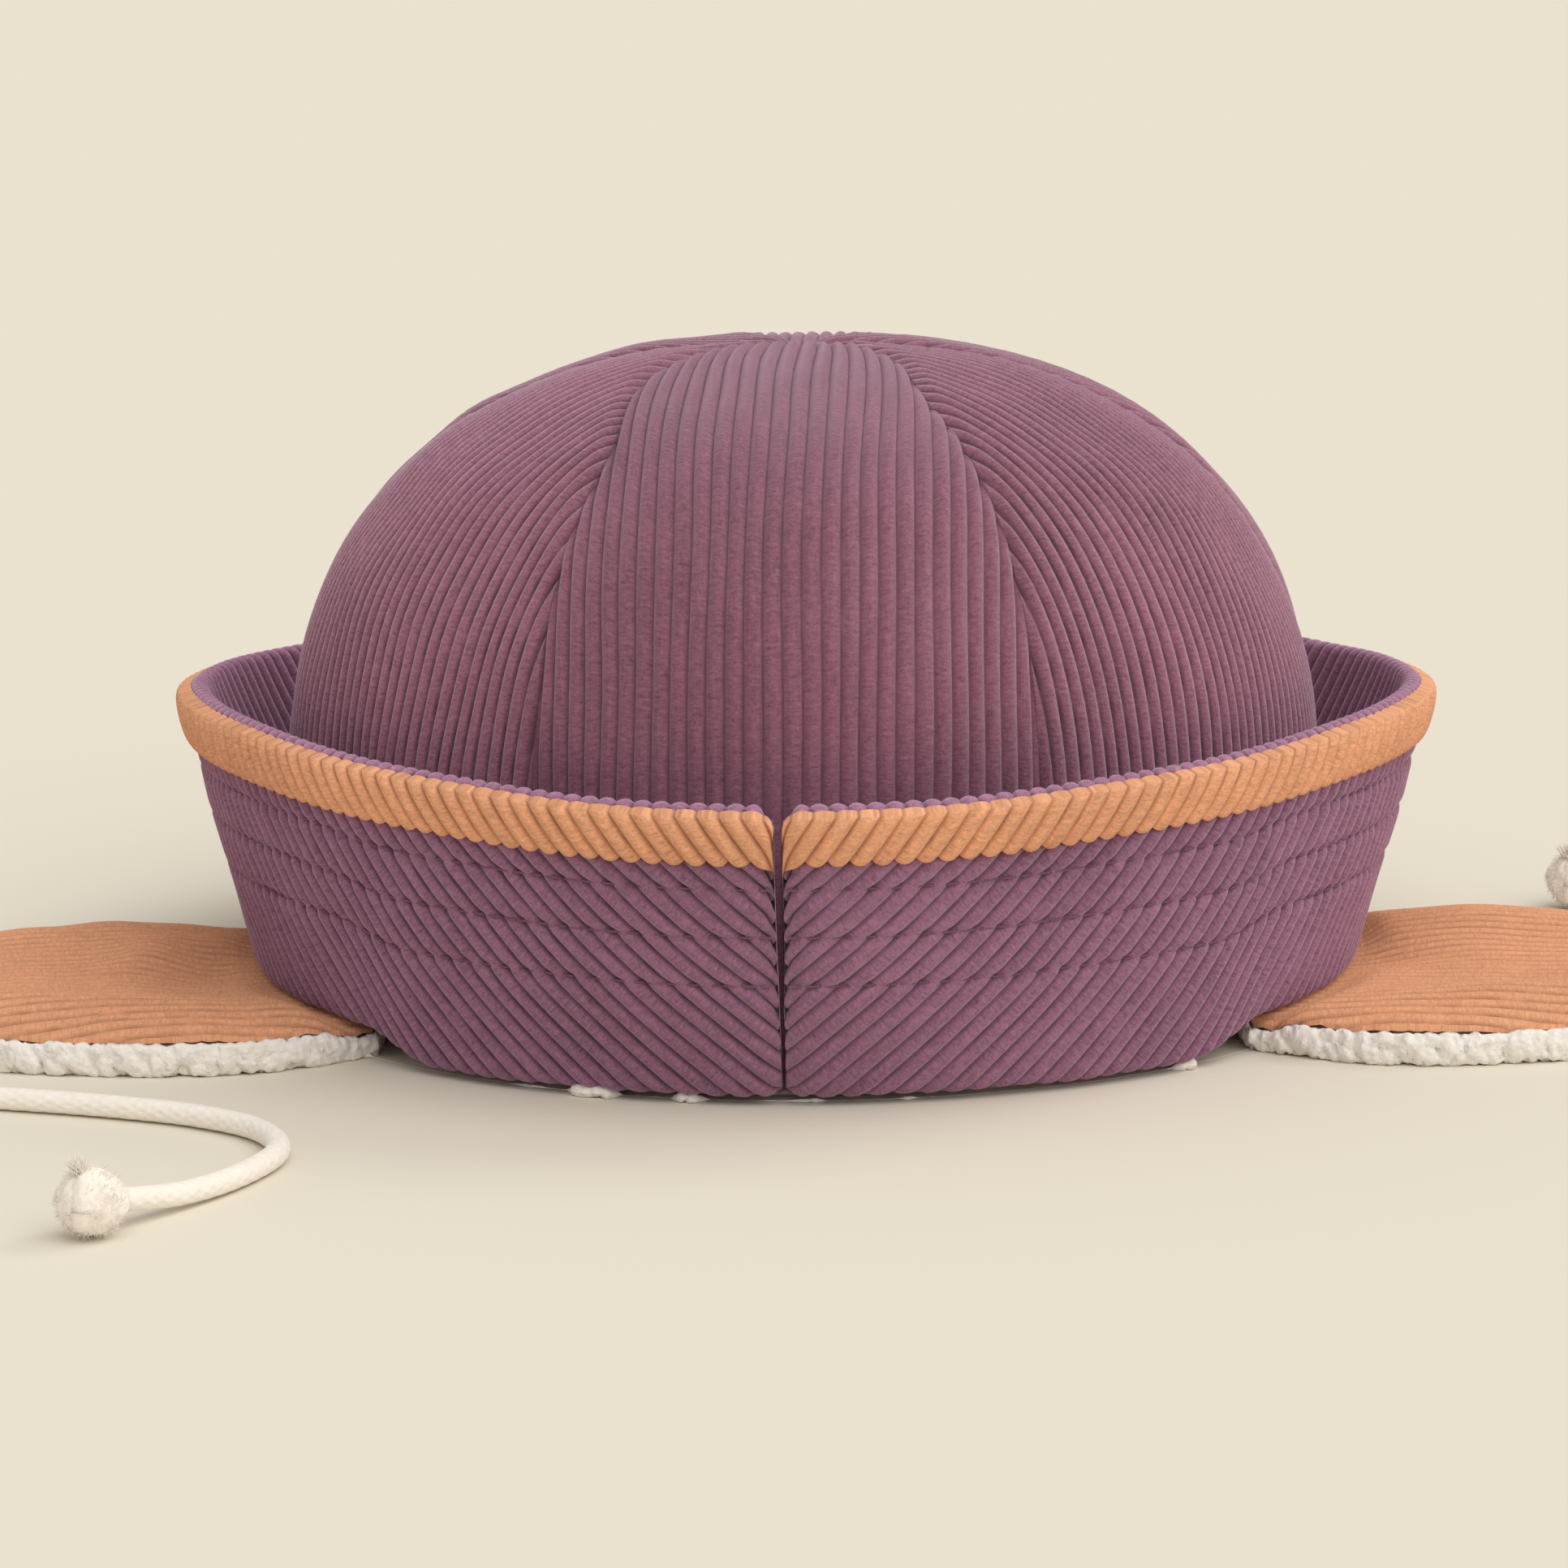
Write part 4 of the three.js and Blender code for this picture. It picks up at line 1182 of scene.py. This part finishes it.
def brim_inside(cloth, side):
    """The inner layer of a brim half: over the free edge and down to the fold. Its pattern is
    turned round, so its ribs lean the other way, and its place on the flat cloth lies far from the
    outer layer's."""
    pitch = size("wale_pitch")
    half = BRIM_WALL / 2
    round_edge = EDGE_ROUND * np.pi * np.linspace(0, EDGE_TURN, TURN_ROWS)[1:]
    path = np.concatenate((np.linspace(0, FLAT_SLANT, INNER_BRIM_ROWS), FLAT_SLANT + round_edge))
    azimuth, path, across, along = brim_ribs(path, pitch)
    azimuth, from_end = half_azimuth(180 - azimuth, path / FLAT_SLANT)
    azimuth = side * azimuth
    slant = brim_slant(azimuth, from_end)
    angle = np.clip((path - FLAT_SLANT) / EDGE_ROUND, 0, EDGE_TURN * np.pi)
    share = np.clip(path / FLAT_SLANT, 0, 1)
    up = half + share * (slant - EDGE_LOWER - EDGE_ROUND - half) + EDGE_ROUND * np.sin(angle)
    depth = BRIM_WALL - EDGE_ROUND + EDGE_ROUND * np.cos(angle)
    out = wale_height(across, pitch, lerp(1, EDGE_WALES, np.clip(angle, 0, 1)))
    out = out - SEAM_TURN * bell(from_end, TURN_REACH)
    points = off_wall(azimuth, up, depth, angle, out)
    inward = unit(off_wall(azimuth, up, depth, angle, out - 1) - points)
    cloth.tucked(points, across + 500 * pitch, along, inward, half, ((1, 1), (1, 1)), material=1)


def brim_half(name, side):
    """A half of the turned-up brim: its outer and inner layers."""
    cloth = Cloth()
    brim_outside(cloth, side)
    brim_inside(cloth, side)
    piece = cloth.mesh(f"cloth_{name}")
    look = "right_brim_cloth" if side > 0 else "left_brim_cloth"
    finish_piece(piece, look, "purple_corduroy", name)
    # The inside of the brim takes a lighter copy of the cloth, as painted light.
    piece.data.materials.append(material("inner_brim_cloth"))


def brim_edge(name, side):
    """The band along a half's free edge: a strip cut with slanting wales and folded over.

    Its section is half a super-ellipse: up = middle - half cos a, out = proud sin(a)^BAND_POWER. A
    wale that stands u across the strip crosses the height y at the length (u + y sin L) / cos L, L
    being BAND_LEAN. The lower edge reaches further down at each wale. Both edges end BAND_SUNK
    inside the brim.
    """
    pitch = size("wale_pitch")
    lean = np.radians(BAND_LEAN)
    angle = np.pi * np.linspace(0, 1, BAND_ROWS)[:, None]
    whole = np.pi * RIM_RADIUS
    across = wale_columns(-BAND_WIDTH * np.sin(lean), whole * np.cos(lean), pitch)
    share = (1 - np.cos(angle)) / 2
    height = share * BAND_WIDTH
    length = np.clip((across + height * np.sin(lean)) / np.cos(lean), 0, whole)
    azimuth, from_end = half_azimuth(length / whole * 180, BAND_JAG)
    azimuth = side * azimuth
    slant = brim_slant(azimuth, from_end)
    ridge = wale_height(across, pitch, BAND_RELIEF)
    foot = slant - BAND_WIDTH - SCALLOPS[0] * (ridge + BAND_PUFF)
    up = lerp(foot, slant - BAND_SETBACK + SCALLOPS[1] * ridge, share)
    proud = BAND_PROUD + BAND_PUFF + ridge - BAND_TAPER * bell(from_end, TAPER_REACH)
    depth = np.where(np.sin(angle) < 0.05, BAND_SUNK, -proud * np.sin(angle) ** BAND_POWER)
    points = brim_points(azimuth, up, depth)
    inward = unit(brim_points(azimuth, up, depth + 1) - points)
    cloth = Cloth()
    cloth.tucked(points, across, height / np.cos(lean), inward, BAND_PROUD, ((0, 0), (1, 1)))
    finish_piece(cloth.mesh(f"cloth_{name}"), "band_cloth", "orange_corduroy", name)


def add_strands(cloth, centre, along, out, length, radius, around=6, rings=7):
    """Adds short round strands: each a tube about its centre along a direction, with ends that
    close as radius sqrt(1 - x^4). Arrays of centres and directions give as many strands."""
    x = np.linspace(-1, 1, rings)[None, :, None, None]
    a = np.linspace(0, 2 * np.pi, around + 1)[None, None, :, None]
    side = np.cross(along, out)
    thick = radius * np.sqrt(np.clip(1 - x**4, 0.02, 1))
    turned = side[:, None, None, :] * np.cos(a) + out[:, None, None, :] * np.sin(a)
    points = centre[:, None, None, :] + along[:, None, None, :] * x * length / 2 + thick * turned
    for strand, inward in zip(points, -turned):
        cloth.grid(strand, a[0, ..., 0], x[0, ..., 0], np.broadcast_to(inward, strand.shape))


def stitch_rows(name, side):
    """Rows of stitches round a brim half, each stitch a short strand lying in the pressed line."""
    long, thick = size("stitch_length"), size("thread")
    step = np.degrees((long + STITCH_GAP) / MIDWAY_RADIUS)
    azimuth = np.arange(1.2, 179, step)
    half = BRIM_WALL / 2
    slant = brim_slant(side * azimuth, np.full_like(azimuth, FAR))
    cloth = Cloth()
    for row in STITCH_ROWS:
        up = half + (BAND_FOOT - row) / FLAT_SLANT * (slant - half - BAND_SETBACK)
        centre = brim_points(side * azimuth, up, STITCH_SUNK)
        along = unit(brim_points(side * (azimuth + 0.2), up, STITCH_SUNK) - centre)
        out = unit(centre - brim_points(side * azimuth, up, STITCH_SUNK + 1))
        add_strands(cloth, centre, along, out, long, thick / 2)
    finish_piece(cloth.mesh(name), "sewing_thread", "purple_corduroy")


def flap_level(side, plan, along, across):
    """Height of the top of a flap's lining: pressed under the hat and free beside it, where
    FLAP_RELIEF swells it, and lower by FLAP_ROLL across^6 at its edge."""
    azimuth = np.degrees(np.arctan2(plan[..., 0], -plan[..., 1]))
    out = np.hypot(plan[..., 0], plan[..., 1]) - hem_radius(azimuth) - BRIM_WALL - GAP
    swell = 1 + sum(
        rise * bell(along - at, long) * bell(across - beside, wide)
        for of_side, at, beside, long, wide, rise in FLAP_RELIEF
        if of_side in (0, side)
    )
    free = smoothstep(out, 0, PRESS_REACH)
    return lerp(PRESSED_SHERPA, FLAP_SHERPA * swell, free) - FLAP_ROLL * np.abs(across) ** 6


def flap_outline(side, azimuth, heading, count=120):
    """Points round a flap from its inner end along the front edge to the tip and back."""
    start, along, across, length = flap_frame(side, azimuth, heading)
    share = np.sin(np.pi / 2 * np.linspace(0, 1, count))[:, None]
    half = flap_half(share)
    front = start + along * share * length + across * half
    back = start + along * share * length - across * half
    return np.concatenate((front, back[::-1]))


def flap_place(side, azimuth, heading, plan):
    """Shares along and across a flap of points on the table."""
    start, along, across, length = flap_frame(side, azimuth, heading)
    off = plan - start
    share = np.clip(off @ along / length, 0, 1)
    return share, np.clip(off @ across / flap_half(share), -1, 1)


def wale_reach(outline, run, beside, pitch):
    """Wales cut to an outline: places of grid columns beside its start, and where each begins and
    ends along the run. The outline's two sides join its lowest point beside the start with its
    highest."""
    ran, stood = outline @ run, outline @ beside
    low, high = np.argmin(stood), np.argmax(stood)
    around = np.roll(np.arange(len(stood)), -low)
    cut = (high - low) % len(stood)
    sides = [around[: cut + 1], np.concatenate((around[cut:], around[:1]))[::-1]]
    columns = wale_columns(stood.min() + GAP, stood.max() - GAP, pitch)
    reach = [np.interp(columns, np.maximum.accumulate(stood[one]), ran[one]) for one in sides]
    return columns, np.minimum(*reach), np.maximum(*reach)


def ear_flap(name, side, azimuth, heading):
    """The corduroy of a flap: wales that run out along it, turned by WALE_TURN towards its front
    edge, over the swells of the lining. Rows crowd at the edge, where the cloth turns down. It is
    cut to the flap's outline."""
    pitch = size("wale_pitch")
    start, along, across, length = flap_frame(side, azimuth, heading)
    tilt = np.radians(WALE_TURN)
    run = np.cos(tilt) * along + np.sin(tilt) * across
    beside = np.cos(tilt) * across - np.sin(tilt) * along
    outline = flap_outline(side, azimuth, heading)
    columns, *ends = wale_reach(outline - start, run, beside, pitch)
    rows = wale_rows(*ends, *FLAP_ROWS)
    points = start + run * rows[..., None] + beside * (columns + 0 * rows)[..., None]
    to_edge = np.linalg.norm(points[..., None, :2] - outline[::2, :2], axis=-1).min(axis=-1)
    level = flap_level(side, points, *flap_place(side, azimuth, heading, points))
    lift = wale_height(columns, pitch, FLAP_WALES) - EDGE_DROP * bell(to_edge, DROP_REACH)
    lift = lift + uneven("flap", rows, columns + 0 * rows, 60 + side)
    points[..., 2] = level + GAP + FLAP_WALL + lift - FLAP_SUNK
    inward = np.zeros_like(points)
    inward[..., 2] = -1
    cloth = Cloth()
    cloth.tucked(points, columns, rows, inward, EDGE_TUCK, ((1, 1), (1, 1)))
    piece = cloth.mesh(f"cloth_ear_flap_{name}")
    finish_piece(piece, "flap_cloth", "orange_corduroy", f"ear_flap_{name}")


def even_steps(points, count, endpoint=True):
    """Points at equal steps along a line through points, their distances, and its length."""
    arc = np.concatenate(([0], np.cumsum(np.linalg.norm(np.diff(points, axis=0), axis=1))))
    at = np.linspace(0, arc[-1], count, endpoint=endpoint)
    return np.stack([np.interp(at, arc, points[:, i]) for i in range(3)], axis=-1), at, arc[-1]


def ear_flap_lining(name, side, azimuth, heading):
    """The sherpa under a flap: a cushion whose section runs from its middle over the edge and back
    under it. The edge bulges by sin(a)^0.7 as the section turns by a, and curls stand out of the
    side and the underside."""
    outline = flap_outline(side, azimuth, heading, 150)
    ring, at, _ = even_steps(np.vstack((outline, outline[:1])), CUSHION_COLUMNS, endpoint=False)
    start, along, _, length = flap_frame(side, azimuth, heading)
    spine_share = np.clip((ring - start) @ along / length, 0.2, 0.85)
    spine = start + along * (spine_share * length)[:, None]
    top, beside, under = CUSHION_ROWS
    turned = np.linspace(0, np.pi, beside)
    inwards = np.linspace(1, 0, under + 1)[1:] ** 0.8
    keep = np.concatenate((np.linspace(0, 0.94, top), np.ones(beside), inwards))
    rise = np.concatenate((np.ones(top), (1 + np.cos(turned)) / 2, np.zeros(under)))
    bulge = np.concatenate((np.zeros(top), np.sin(turned) ** 0.7, np.zeros(under)))
    outward = unit(ring - spine)
    plan = spine[:, None] + (ring - spine)[:, None] * keep[:, None]
    shift = EDGE_BULGE * bulge - EDGE_UNDERCUT * (1 - rise) * keep
    plan = plan + outward[:, None] * shift[:, None]
    level = flap_level(side, plan, *flap_place(side, azimuth, heading, plan))
    points = plan.copy()
    points[..., 2] = (level + EDGE_FILL * (bulge > 0)) * rise
    out = outward[:, None] * bulge[:, None]
    out[..., 2] = rise * 2 - 1
    out = unit(out)
    coarse, fine = (size("curl_size") * share for share in CURLS)
    pile = 0.8 * (curls(points, coarse, 3 + side) - 0.5) * (rise < 0.999)
    pile = pile + 0.6 * (curls(points, fine, 7 + side) - 0.5) * (bulge > 0)
    points = points + out * (PILE * pile * (0.4 + 0.6 * bulge))[..., None]
    creases = UNDER_CREASE * (1 - curls(plan, coarse, 13 + side)) * (rise == 0) * (keep > 0)
    points[..., 2] = np.maximum(points[..., 2], SHERPA_LOWEST) + creases
    cloth = Cloth()
    cloth.grid(points, at[:, None], np.arange(len(keep)), -out, ring=True)
    piece = cloth.mesh(f"pile_ear_flap_lining_{name}")
    finish_piece(piece, "curly_sherpa", "white_sherpa", f"ear_flap_lining_{name}")


def smooth_route(route, count):
    """Points at equal steps along the centripetal Catmull-Rom curve through a route, and the
    curve's length."""
    given = np.array(route, float)
    p = np.vstack((2 * given[0] - given[1], given, 2 * given[-1] - given[-2]))
    knots = np.linalg.norm(np.diff(p, axis=0), axis=1) ** 0.5
    pieces = []
    for i in range(1, len(p) - 2):
        a, b, c = knots[i - 1 : i + 2]
        steps = np.diff(p[i - 1 : i + 3], axis=0)
        m0 = (steps[0] / a - (steps[0] + steps[1]) / (a + b) + steps[1] / b) * b
        m1 = (steps[1] / b - (steps[1] + steps[2]) / (b + c) + steps[2] / c) * b
        t = np.linspace(0, 1, 60)[:, None]
        ends = p[i] * (1 + 2 * t) * (1 - t) ** 2 + p[i + 1] * t**2 * (3 - 2 * t)
        pieces.append(ends + m0 * t * (1 - t) ** 2 - m1 * t**2 * (1 - t))
    curve = np.concatenate([pieces[0]] + [piece[1:] for piece in pieces[1:]])
    path, _, long = even_steps(curve, count)
    return path, long


def braided_tube(cloth, path, long, radius):
    """A round cord along a path, closed at both ends. Two sets of BRAID_STRANDS helices cross, and
    the higher one shows: with r and h the radius and BRAID_RELIEF, the surface stands at
    r - h + h max(|cos(k a / 2 + p)|, |cos(k a / 2 - p)|), p growing along the cord."""
    ahead = unit(np.gradient(path, axis=0))
    side = unit(np.cross(ahead, (0, 0, 1)))
    up = np.cross(side, ahead)
    a = np.linspace(0, 2 * np.pi, CORD_SIDES + 1)[None, :]
    at = np.linspace(0, long, len(path))[:, None]
    phase = at * np.pi / size("braid_pitch")
    turned = BRAID_STRANDS * a / 2
    weave = np.maximum(np.abs(np.cos(turned + phase)), np.abs(np.cos(turned - phase)))
    cap = np.sqrt(np.clip(1 - (1 - np.clip(at / radius, 0, 1)) ** 2, 0.0004, 1))
    thick = (radius - BRAID_RELIEF + BRAID_RELIEF * weave) * cap * cap[::-1]
    out = side[:, None] * np.cos(a)[..., None] + up[:, None] * np.sin(a)[..., None]
    points = path[:, None] + out * thick[..., None]
    points[..., 2] = np.maximum(points[..., 2], COTTON_LOWEST)
    cloth.grid(points, a * radius, at, -out)


def add_fibres(cloth, root, lean, length, radius, around, rings):
    """Loose fibres that leave their roots in given directions."""
    out = unit(np.cross(lean, (1, 0.2, 0.1)))
    add_strands(cloth, root, lean, out, length, radius, around, rings)


def knot_cord(centre, axes):
    """The path of the knot's cord. It follows an open trefoil: sin t + 2 sin 2t, cos t - 2 cos 2t,
    -KNOT_DEPTH sin 3t, turned over by KNOT_TILT."""
    ahead, side, up = axes
    t = np.linspace(0.25, 2 * np.pi + 0.05, 150)
    trefoil = (np.sin(t) + 2 * np.sin(2 * t), np.cos(t) - 2 * np.cos(2 * t))
    local = np.stack((*trefoil, -KNOT_DEPTH * np.sin(3 * t)), axis=-1)
    flat, steep = np.cos(KNOT_TILT), np.sin(KNOT_TILT)
    tilted = np.stack((ahead, side * flat + up * steep, up * flat - side * steep))
    return centre + KNOT_SPREAD * local @ tilted


def knot(name):
    """An overhand knot pulled tight at the end of a cord into a fuzzy ball, with a frayed end. It
    is sunk in the ball, so that its turns show only softly, and fibres stand out all round."""
    route = np.array(CORD_ROUTES[name], float)
    ahead = unit((route[-1] - route[-2]) * (1, 1, 0))
    up = np.array((0, 0, 1))
    radius = KNOT_DIAMETER / 2
    centre = route[-1] + ahead * (radius + GAP)
    centre[2] = radius
    cloth = Cloth()
    path = knot_cord(centre, (ahead, np.cross(up, ahead), up))
    long = np.linalg.norm(np.diff(path, axis=0), axis=1).sum()
    braided_tube(cloth, path, long, radius - KNOT_SPREAD * 3)
    down = np.linspace(0, np.pi, 60)[:, None]
    around = np.linspace(0, 2 * np.pi, 110)
    out = polar(np.sin(down), np.degrees(around), np.cos(down))
    lumps = uneven("knot", down * radius, around * radius + 0 * down, 5) * np.sin(down)
    ball = centre + out * (radius * KNOT_FULLNESS + lumps)[..., None]
    cloth.grid(ball, around * radius, down * radius, -out)
    rng = np.random.default_rng(4)
    count, *fibre = FUZZ
    out = unit(rng.normal(0, 1, (count, 3)))
    lean = unit(out * 0.5 + rng.normal(0, 0.7, (count, 3)))
    add_fibres(cloth, centre + out * radius * 0.95, lean, *fibre)
    count, *fibre = FRAY
    tail = centre + ahead * radius * 0.3 + up * radius * 0.75
    lean = unit(ahead * 0.5 + up * 0.8 + rng.normal(0, 0.33, (count, 3)))
    root = tail + rng.normal(0, 0.6, (count, 3)) * (1, 1, 0.4)
    add_fibres(cloth, root + lean * 1.2, lean, *fibre)
    for points in cloth.points:
        points[:, 2] = np.maximum(points[:, 2], COTTON_LOWEST)
    piece = cloth.mesh(f"cotton_knot_{name}")
    finish_piece(piece, "braided_cotton", "cotton_cord", f"knot_{name}")
    return piece


def tie_cord(name):
    """A cotton tie from the tip of a flap to its knot, lying on the table."""
    route = CORD_ROUTES[name]
    path, long = smooth_route(route, 620)
    cloth = Cloth()
    braided_tube(cloth, path, long, CORD_DIAMETER / 2)
    piece = cloth.mesh(f"cotton_cord_{name}")
    finish_piece(piece, "braided_cotton", "cotton_cord", f"cord_{name}")
    knot(name)


def aim(thing, eye, target, roll=0.0):
    """Places a camera or light at a point, looking at another, both in millimetres."""
    look = Vector(target) - Vector(eye)
    thing.rotation_euler = (look.to_track_quat("-Z", "Y") @ Quaternion((0, 0, 1), roll)).to_euler()
    thing.location = Vector(eye) * MM


def direction(azimuth, elevation):
    """The unit vector towards an azimuth and an elevation in degrees."""
    high = np.radians(elevation)
    return polar(np.cos(high), azimuth, np.sin(high))


def make_camera():
    """The camera as the photograph was taken: about 1 m away and 10.5 degrees above the table."""
    data = bpy.data.cameras.new("camera")
    data.lens = CAMERA_LENS
    data.sensor_width = data.sensor_height = SENSOR
    data.clip_end = CAMERA_REACH
    camera = add_object("camera", data)
    away = direction(CAMERA_AZIMUTH, CAMERA_ELEVATION)
    eye = np.array(CAMERA_TARGET) + CAMERA_DISTANCE * away
    aim(camera, eye, CAMERA_TARGET, np.radians(CAMERA_ROLL))
    bpy.context.scene.camera = camera


def make_world():
    """Even light from all round, and the floor's colour where the camera looks past the floor."""
    world = bpy.data.worlds.new("studio")
    bpy.context.scene.world = world
    world.use_nodes = True
    w = Wiring(world.node_tree)
    seen = w.node("LightPath").outputs["Is Camera Ray"]
    fill = w.node("Background", {"Color": FILL_COLOUR, "Strength": FILL_STRENGTH}).outputs[0]
    behind = w.node("Background", {"Color": tinted("floor"), "Strength": 1.0}).outputs[0]
    blend = w.node("MixShader", {0: seen, 1: fill, 2: behind}).outputs[0]
    w.node("OutputWorld", {0: blend})


def make_stage():
    """A wide pale floor, even light all round, a wide soft light from the front right and a
    smaller one from behind the right."""
    mesh = bpy.data.meshes.new("floor")
    square = ((-1, -1), (1, -1), (1, 1), (-1, 1))
    corners = [(x * FLOOR_REACH, y * FLOOR_REACH, 0) for x, y in square]
    mesh.from_pydata(corners, [], [(0, 1, 2, 3)])
    mesh.materials.append(material("floor_paper"))
    floor = add_object("floor", mesh)
    make_world()
    for name, azimuth, elevation, spread, strength in LIGHTS:
        data = bpy.data.lights.new(name, "SUN")
        data.energy = strength
        data.angle = np.radians(spread)
        data.color = LIGHT_COLOUR
        aim(add_object(name, data), direction(azimuth, elevation) * LIGHT_DISTANCE, (0, 0, 0))
    bpy.context.scene.view_settings.view_transform = "Standard"


class HAT_OT_camera_and_cords(bpy.types.Operator):
    """Sets the camera and lays the two cords with their knots"""

    bl_idname = "hat.camera_and_cords"
    bl_label = "Camera and cords"

    def execute(self, context):
        make_camera()
        for name in CORD_ROUTES:
            tie_cord(name)
        return {"FINISHED"}


class HAT_OT_crown_panels(bpy.types.Operator):
    """Covers the crown with its six panels of corduroy"""

    bl_idname = "hat.crown_panels"
    bl_label = "Crown panels"

    def execute(self, context):
        for panel in PANELS:
            crown_panel(*panel)
        return {"FINISHED"}


class HAT_OT_crown_lining(bpy.types.Operator):
    """Lines the crown with sherpa"""

    bl_idname = "hat.crown_lining"
    bl_label = "Crown lining"

    def execute(self, context):
        crown_lining()
        return {"FINISHED"}


class HAT_OT_brim(bpy.types.Operator):
    """Turns up the two halves of the brim with their stitching and their bands"""

    bl_idname = "hat.brim"
    bl_label = "Brim"

    def execute(self, context):
        for name, side, _, _ in FLAPS:
            brim_half(f"brim_{name}", side)
            stitch_rows(f"stitches_{name}", side)
            brim_edge(f"brim_edge_{name}", side)
        return {"FINISHED"}


class HAT_OT_ear_flaps(bpy.types.Operator):
    """Spreads the two ear flaps and their linings on the table"""

    bl_idname = "hat.ear_flaps"
    bl_label = "Ear flaps"

    def execute(self, context):
        for flap in FLAPS:
            ear_flap_lining(*flap)
            ear_flap(*flap)
        return {"FINISHED"}


class HAT_OT_stage(bpy.types.Operator):
    """Makes the floor and the light"""

    bl_idname = "hat.stage"
    bl_label = "Stage"

    def execute(self, context):
        make_stage()
        return {"FINISHED"}


OPERATORS = (
    HAT_OT_camera_and_cords,
    HAT_OT_crown_panels,
    HAT_OT_crown_lining,
    HAT_OT_brim,
    HAT_OT_ear_flaps,
    HAT_OT_stage,
)


class HAT_PT_winter_hat(bpy.types.Panel):
    """The hat's sizes, colours and pieces"""

    bl_label = "Winter hat"
    bl_space_type = "VIEW_3D"
    bl_region_type = "UI"
    bl_category = "Winter hat"

    def draw(self, context):
        for group in (context.scene.hat_sizes, context.scene.hat_colours):
            for key in group.__annotations__:
                self.layout.prop(group, key)
        for operator in OPERATORS:
            self.layout.operator(operator.bl_idname)


def register():
    """Adds the hat's sizes, colours, operators and panel."""
    for kind in (HatSizes, HatColours, *OPERATORS, HAT_PT_winter_hat):
        bpy.utils.register_class(kind)
    bpy.types.Scene.hat_sizes = bpy.props.PointerProperty(type=HatSizes)
    bpy.types.Scene.hat_colours = bpy.props.PointerProperty(type=HatColours)


def unregister():
    """Takes them away again."""
    del bpy.types.Scene.hat_sizes
    del bpy.types.Scene.hat_colours
    for kind in (HAT_PT_winter_hat, *reversed(OPERATORS), HatColours, HatSizes):
        bpy.utils.unregister_class(kind)


def main():
    """Builds the hat."""
    register()
    bpy.ops.hat.camera_and_cords()
    bpy.ops.hat.crown_panels()
    bpy.ops.hat.crown_lining()
    bpy.ops.hat.brim()
    bpy.ops.hat.ear_flaps()
    bpy.ops.hat.stage()


if __name__ == "__main__":
    main()
